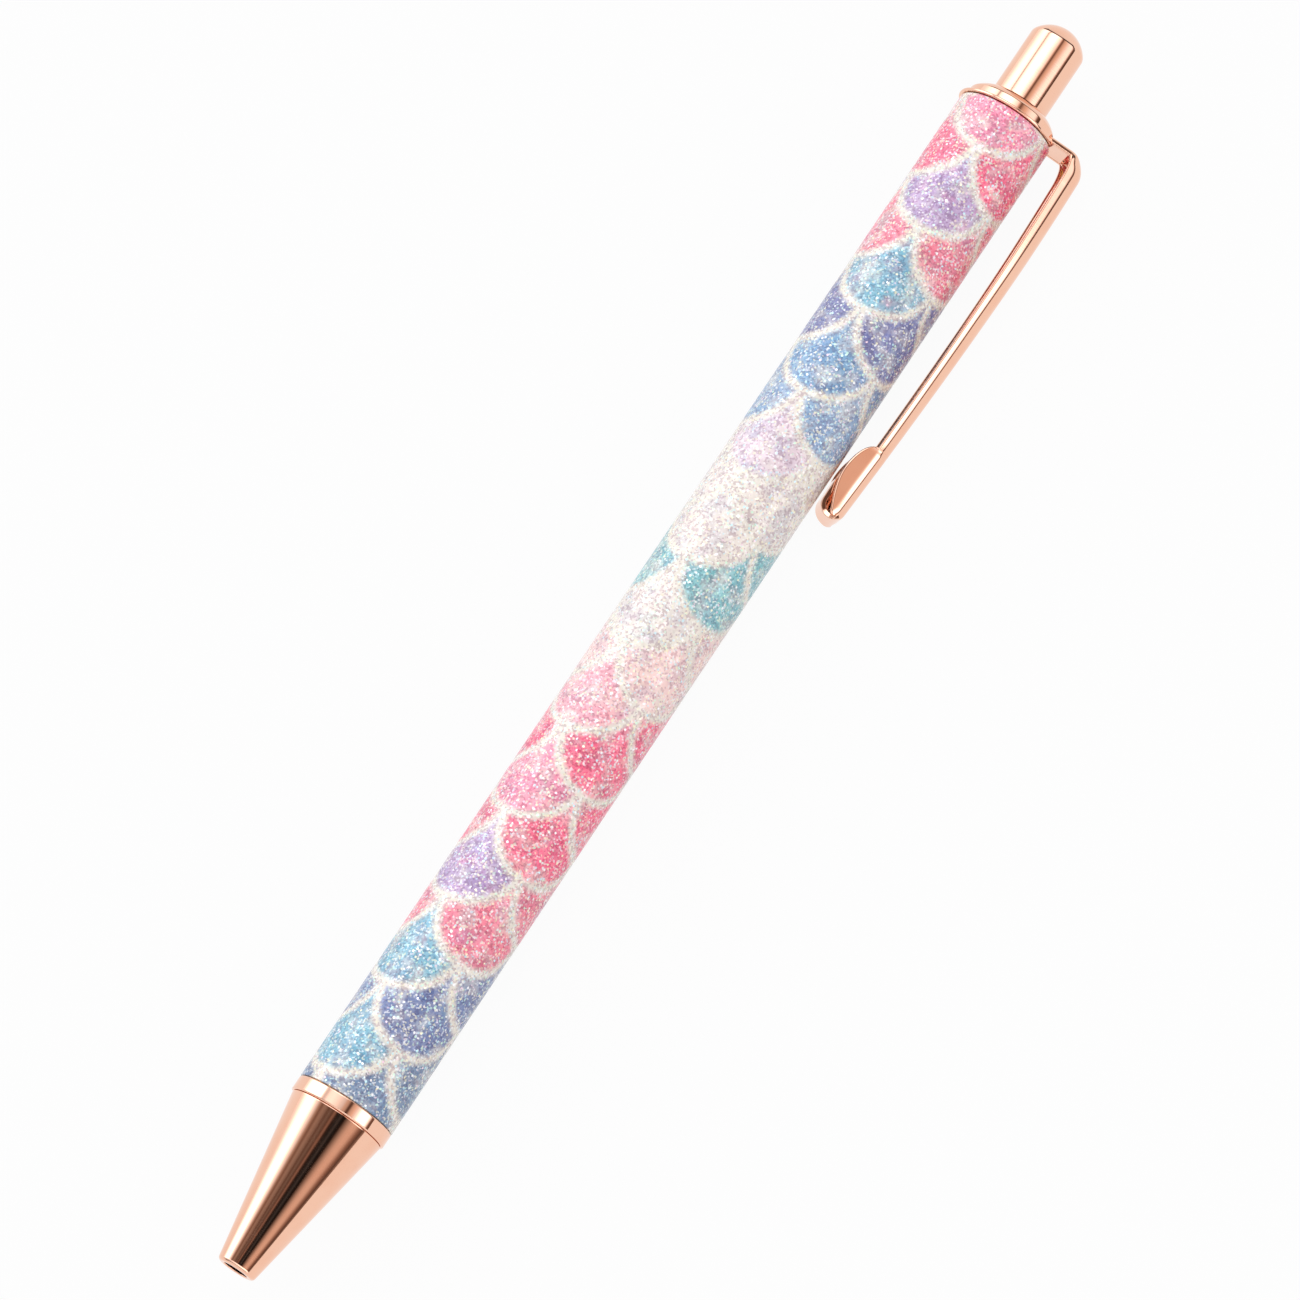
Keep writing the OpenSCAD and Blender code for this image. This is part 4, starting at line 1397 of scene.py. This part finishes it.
@dataclass
class Studio:
    """Pale floor, soft boxes painted on the world round the pen, and the camera of the picture."""

    floor_half: float = 4.0
    floor_z: float = -2e-5
    floor_colour: Colour = (0.60, 0.60, 0.60)
    floor_glow: float = 0.95
    eye: Corner = (-0.148425, -0.205420, 0.599940)
    right: Corner = (0.543006, -0.825484, -0.154012)
    up: Corner = (0.808524, 0.464425, 0.361385)
    lens: float = 191.647
    sensor: float = 36.0
    clip: Span = (0.01, 50)
    aside: float = 19.2
    peak: float = 4.0
    upper: Tuple[Stop, ...] = (
        Stop(-180, 1.2), Stop(-102, 1.2), Stop(-92, 1.65), Stop(-83, 2.2), Stop(-72, 2.5), Stop(-66, 2.2),
        Stop(-59, 1.6), Stop(-57, 0.6), Stop(-54.5, 0.6), Stop(-52, 1.6), Stop(-44, 2.4), Stop(-37, 2.7),
        Stop(-19, 2.7), Stop(-12, 2.0), Stop(-1, 1.25), Stop(3, 0.7, Glow.WARM), Stop(7, 0.18, Glow.DEEP),
        Stop(10, 0.24, Glow.DEEP), Stop(15, 0.66, Glow.WARM), Stop(23, 0.92, Glow.WARM), Stop(33, 1.05),
        Stop(41, 1.35), Stop(51, 1.45), Stop(56, 1.1), Stop(61, 0.3, Glow.DEEP), Stop(64, 0.12, Glow.DEEP),
        Stop(78, 0.12, Glow.DEEP), Stop(89, 0.9), Stop(94, 1.2),
    )
    lower: Tuple[Stop, ...] = (
        Stop(-180, 1.3), Stop(-106, 1.3), Stop(-101, 2.0), Stop(-96, 2.8), Stop(-58, 2.8), Stop(-53, 1.0),
        Stop(-50, 0.8), Stop(-47, 0.9), Stop(-42, 1.4), Stop(-32, 1.5), Stop(-21, 1.25), Stop(-13, 0.98),
        Stop(-7, 0.82), Stop(-1, 0.66, Glow.WARM), Stop(3, 0.52, Glow.WARM), Stop(6.5, 0.12, Glow.DEEP),
        Stop(10, 0.12, Glow.DEEP), Stop(14, 0.60, Glow.WARM), Stop(21, 0.92, Glow.WARM), Stop(26, 0.98),
        Stop(31, 1.5), Stop(38, 2.7), Stop(55, 2.7), Stop(61, 1.2), Stop(65, 0.2, Glow.DEEP),
        Stop(76, 0.14, Glow.DEEP), Stop(79, 0.6, Glow.WARM), Stop(83, 1.35),
    )
    front: Tuple[Stop, ...] = (
        Stop(-180, 1.1), Stop(-112, 1.05), Stop(-107, 0.85), Stop(-100, 1.4), Stop(-92, 2.3), Stop(-82, 3.0),
        Stop(-70, 2.6), Stop(-62, 1.4), Stop(-57, 0.9), Stop(-51, 0.44, Glow.WARM),
        Stop(-45, 0.20, Glow.DEEP), Stop(-39, 0.33, Glow.WARM), Stop(-33, 0.26, Glow.WARM),
        Stop(-27.5, 0.13, Glow.DEEP), Stop(-22, 0.18, Glow.WARM), Stop(-16, 0.11, Glow.DEEP),
        Stop(-11, 0.26, Glow.DEEP),
        Stop(-6, 0.03, Glow.DEEP), Stop(0, 0.02), Stop(5, 0.05), Stop(10, 0.01), Stop(15, 0.02, Glow.DEEP),
        Stop(21, 0.22, Glow.WARM), Stop(32, 0.64, Glow.WARM), Stop(39, 0.74, Glow.WARM),
        Stop(46, 0.70, Glow.WARM), Stop(56, 0.28, Glow.DEEP), Stop(64, 0.10, Glow.DEEP),
        Stop(72, 0.36, Glow.WARM), Stop(80, 1.1),
    )
    split: Span = (0.285, 0.325)
    patch: Band = (-0.28, -0.24, -0.09, -0.03)
    fill: Tuple[Stop, ...] = (
        Stop(-180, 0.9), Stop(-110, 0.6), Stop(-60, 0.8), Stop(0, 1.9), Stop(35, 2.2), Stop(75, 1.5),
        Stop(179, 0.8),
    )
    fill_x: Span = (-0.34, -0.29)
    end_ring: Band = (0.62, 0.65, 0.80, 0.84)
    low_ring: Band = (0.62, 0.65, 0.74, 0.78)
    ring_dark: float = 0.92
    end_level: float = 0.95

    def build(self) -> None:
        """Sets the view, then builds camera, world and floor."""
        bpy.context.scene.view_settings.view_transform = "Standard"
        self.camera()
        self.world()
        self.floor()

    def camera(self) -> None:
        """Camera whose columns are right, up and back."""
        data = bpy.data.cameras.new("picture_camera")
        data.lens, data.sensor_width = self.lens, self.sensor
        data.clip_start, data.clip_end = self.clip
        data.dof.use_dof = False
        right, up = Vector(self.right).normalized(), Vector(self.up).normalized()
        back = right.cross(up)
        turn = Matrix((right, back.cross(right), back)).transposed().to_4x4()
        camera = bpy.data.objects.new("picture_camera", data)
        camera.matrix_world = Matrix.Translation(self.eye) @ turn
        bpy.context.scene.collection.objects.link(camera)
        bpy.context.scene.camera = camera

    def world(self) -> None:
        """Strips of light that run along the pen, set by the angle round it from the camera's side.

        Directions that lean to the button's end pass from the lower to the upper strips; a patch that
        leans to the writing end takes the front strips, dark in the middle, and past it comes a fill from
        the right that evens out the light on the barrel. Directions near both ends of the pen are plain,
        past a dark ring that draws the rounded edges.
        """
        world = bpy.data.worlds.new("studio")
        world.use_nodes = True
        bpy.context.scene.world = world
        tree = Tree(world.node_tree)
        x, y, z = tree.split(tree.add("TexCoord").outputs["Generated"])
        share = ((0.0 - y).math("ARCTAN2", z) / TAU + (0.5 - self.aside / 360)) % 1.0
        sets = (self.upper, self.lower, self.front, self.fill)
        upper, lower, front, fill = (tree.ramp(share, self.strip(stops)) for stops in sets)
        light = tree.mix(tree.step(x, *self.split), lower, upper)
        a, b, c, d = self.patch
        light = tree.mix(tree.step(x, a, b) * (1.0 - tree.step(x, c, d)), light, front)
        light = tree.mix(1.0 - tree.step(x, *self.fill_x), light, fill)
        for place, (a, b, c, d) in ((x, self.end_ring), (0.0 - x, self.low_ring)):
            light = tree.mix(tree.step(place, a, b) * self.ring_dark, light, (0, 0, 0))
            light = tree.mix(tree.step(place, c, d), light, (self.end_level / self.peak,) * 3)
        glow = tree.add("Background", None, {"Color": light, "Strength": self.peak})
        tree.add("OutputWorld", None, {"Surface": glow.outputs[0]})

    def strip(self, stops: Sequence[Stop]) -> List[Tuple[float, Colour]]:
        """Turns stops into places and colours of a ramp, as shares of the peak level."""
        return [(stop.angle / 360 + 0.5, tuple(stop.level / self.peak * v for v in stop.glow.value))
                for stop in stops]

    def floor(self) -> None:
        """Plain pale floor with a soft shadow; camera, mirrors and clear parts see it white."""
        signs = ((-1, -1), (1, -1), (1, 1), (-1, 1))
        spots = [(a * self.floor_half, b * self.floor_half, self.floor_z) for a, b in signs]
        mesh = bpy.data.meshes.new("studio_floor")
        mesh.from_pydata(spots, [], [(0, 1, 2, 3)])
        floor = bpy.data.objects.new("studio_floor", mesh)
        bpy.context.scene.collection.objects.link(floor)
        made = bpy.data.materials.new("pale_floor")
        made.use_nodes = True
        tree = Tree(made.node_tree)
        path = tree.add("LightPath")
        kinds = [tree.value(path, kind) for kind in ("Is Camera Ray", "Is Glossy Ray", "Is Transmission Ray")]
        seen = kinds[0].math("MAXIMUM", kinds[1]).math("MAXIMUM", kinds[2]) * self.floor_glow
        paint = tree.add("BsdfDiffuse", None, {"Color": self.floor_colour})
        glow = tree.add("Emission", None, {"Color": (1, 1, 1), "Strength": 1.0})
        both = tree.add("MixShader", None, {0: seen, 1: paint.outputs[0], 2: glow.outputs[0]})
        tree.add("OutputMaterial", None, {"Surface": both.outputs[0]})
        mesh.materials.append(made)


def main() -> None:
    """Builds studio, pieces and finishes in order."""
    logging.basicConfig(level=logging.INFO, format="%(name)s: %(message)s")
    Studio().build()
    pen = Layout()
    pose = Pose.resting(pen)
    for kind in (WritingEnd, Barrel, PocketClip, PushButton):
        kind(pose, pen).build()
    Works().dress()


if __name__ == "__main__":
    main()
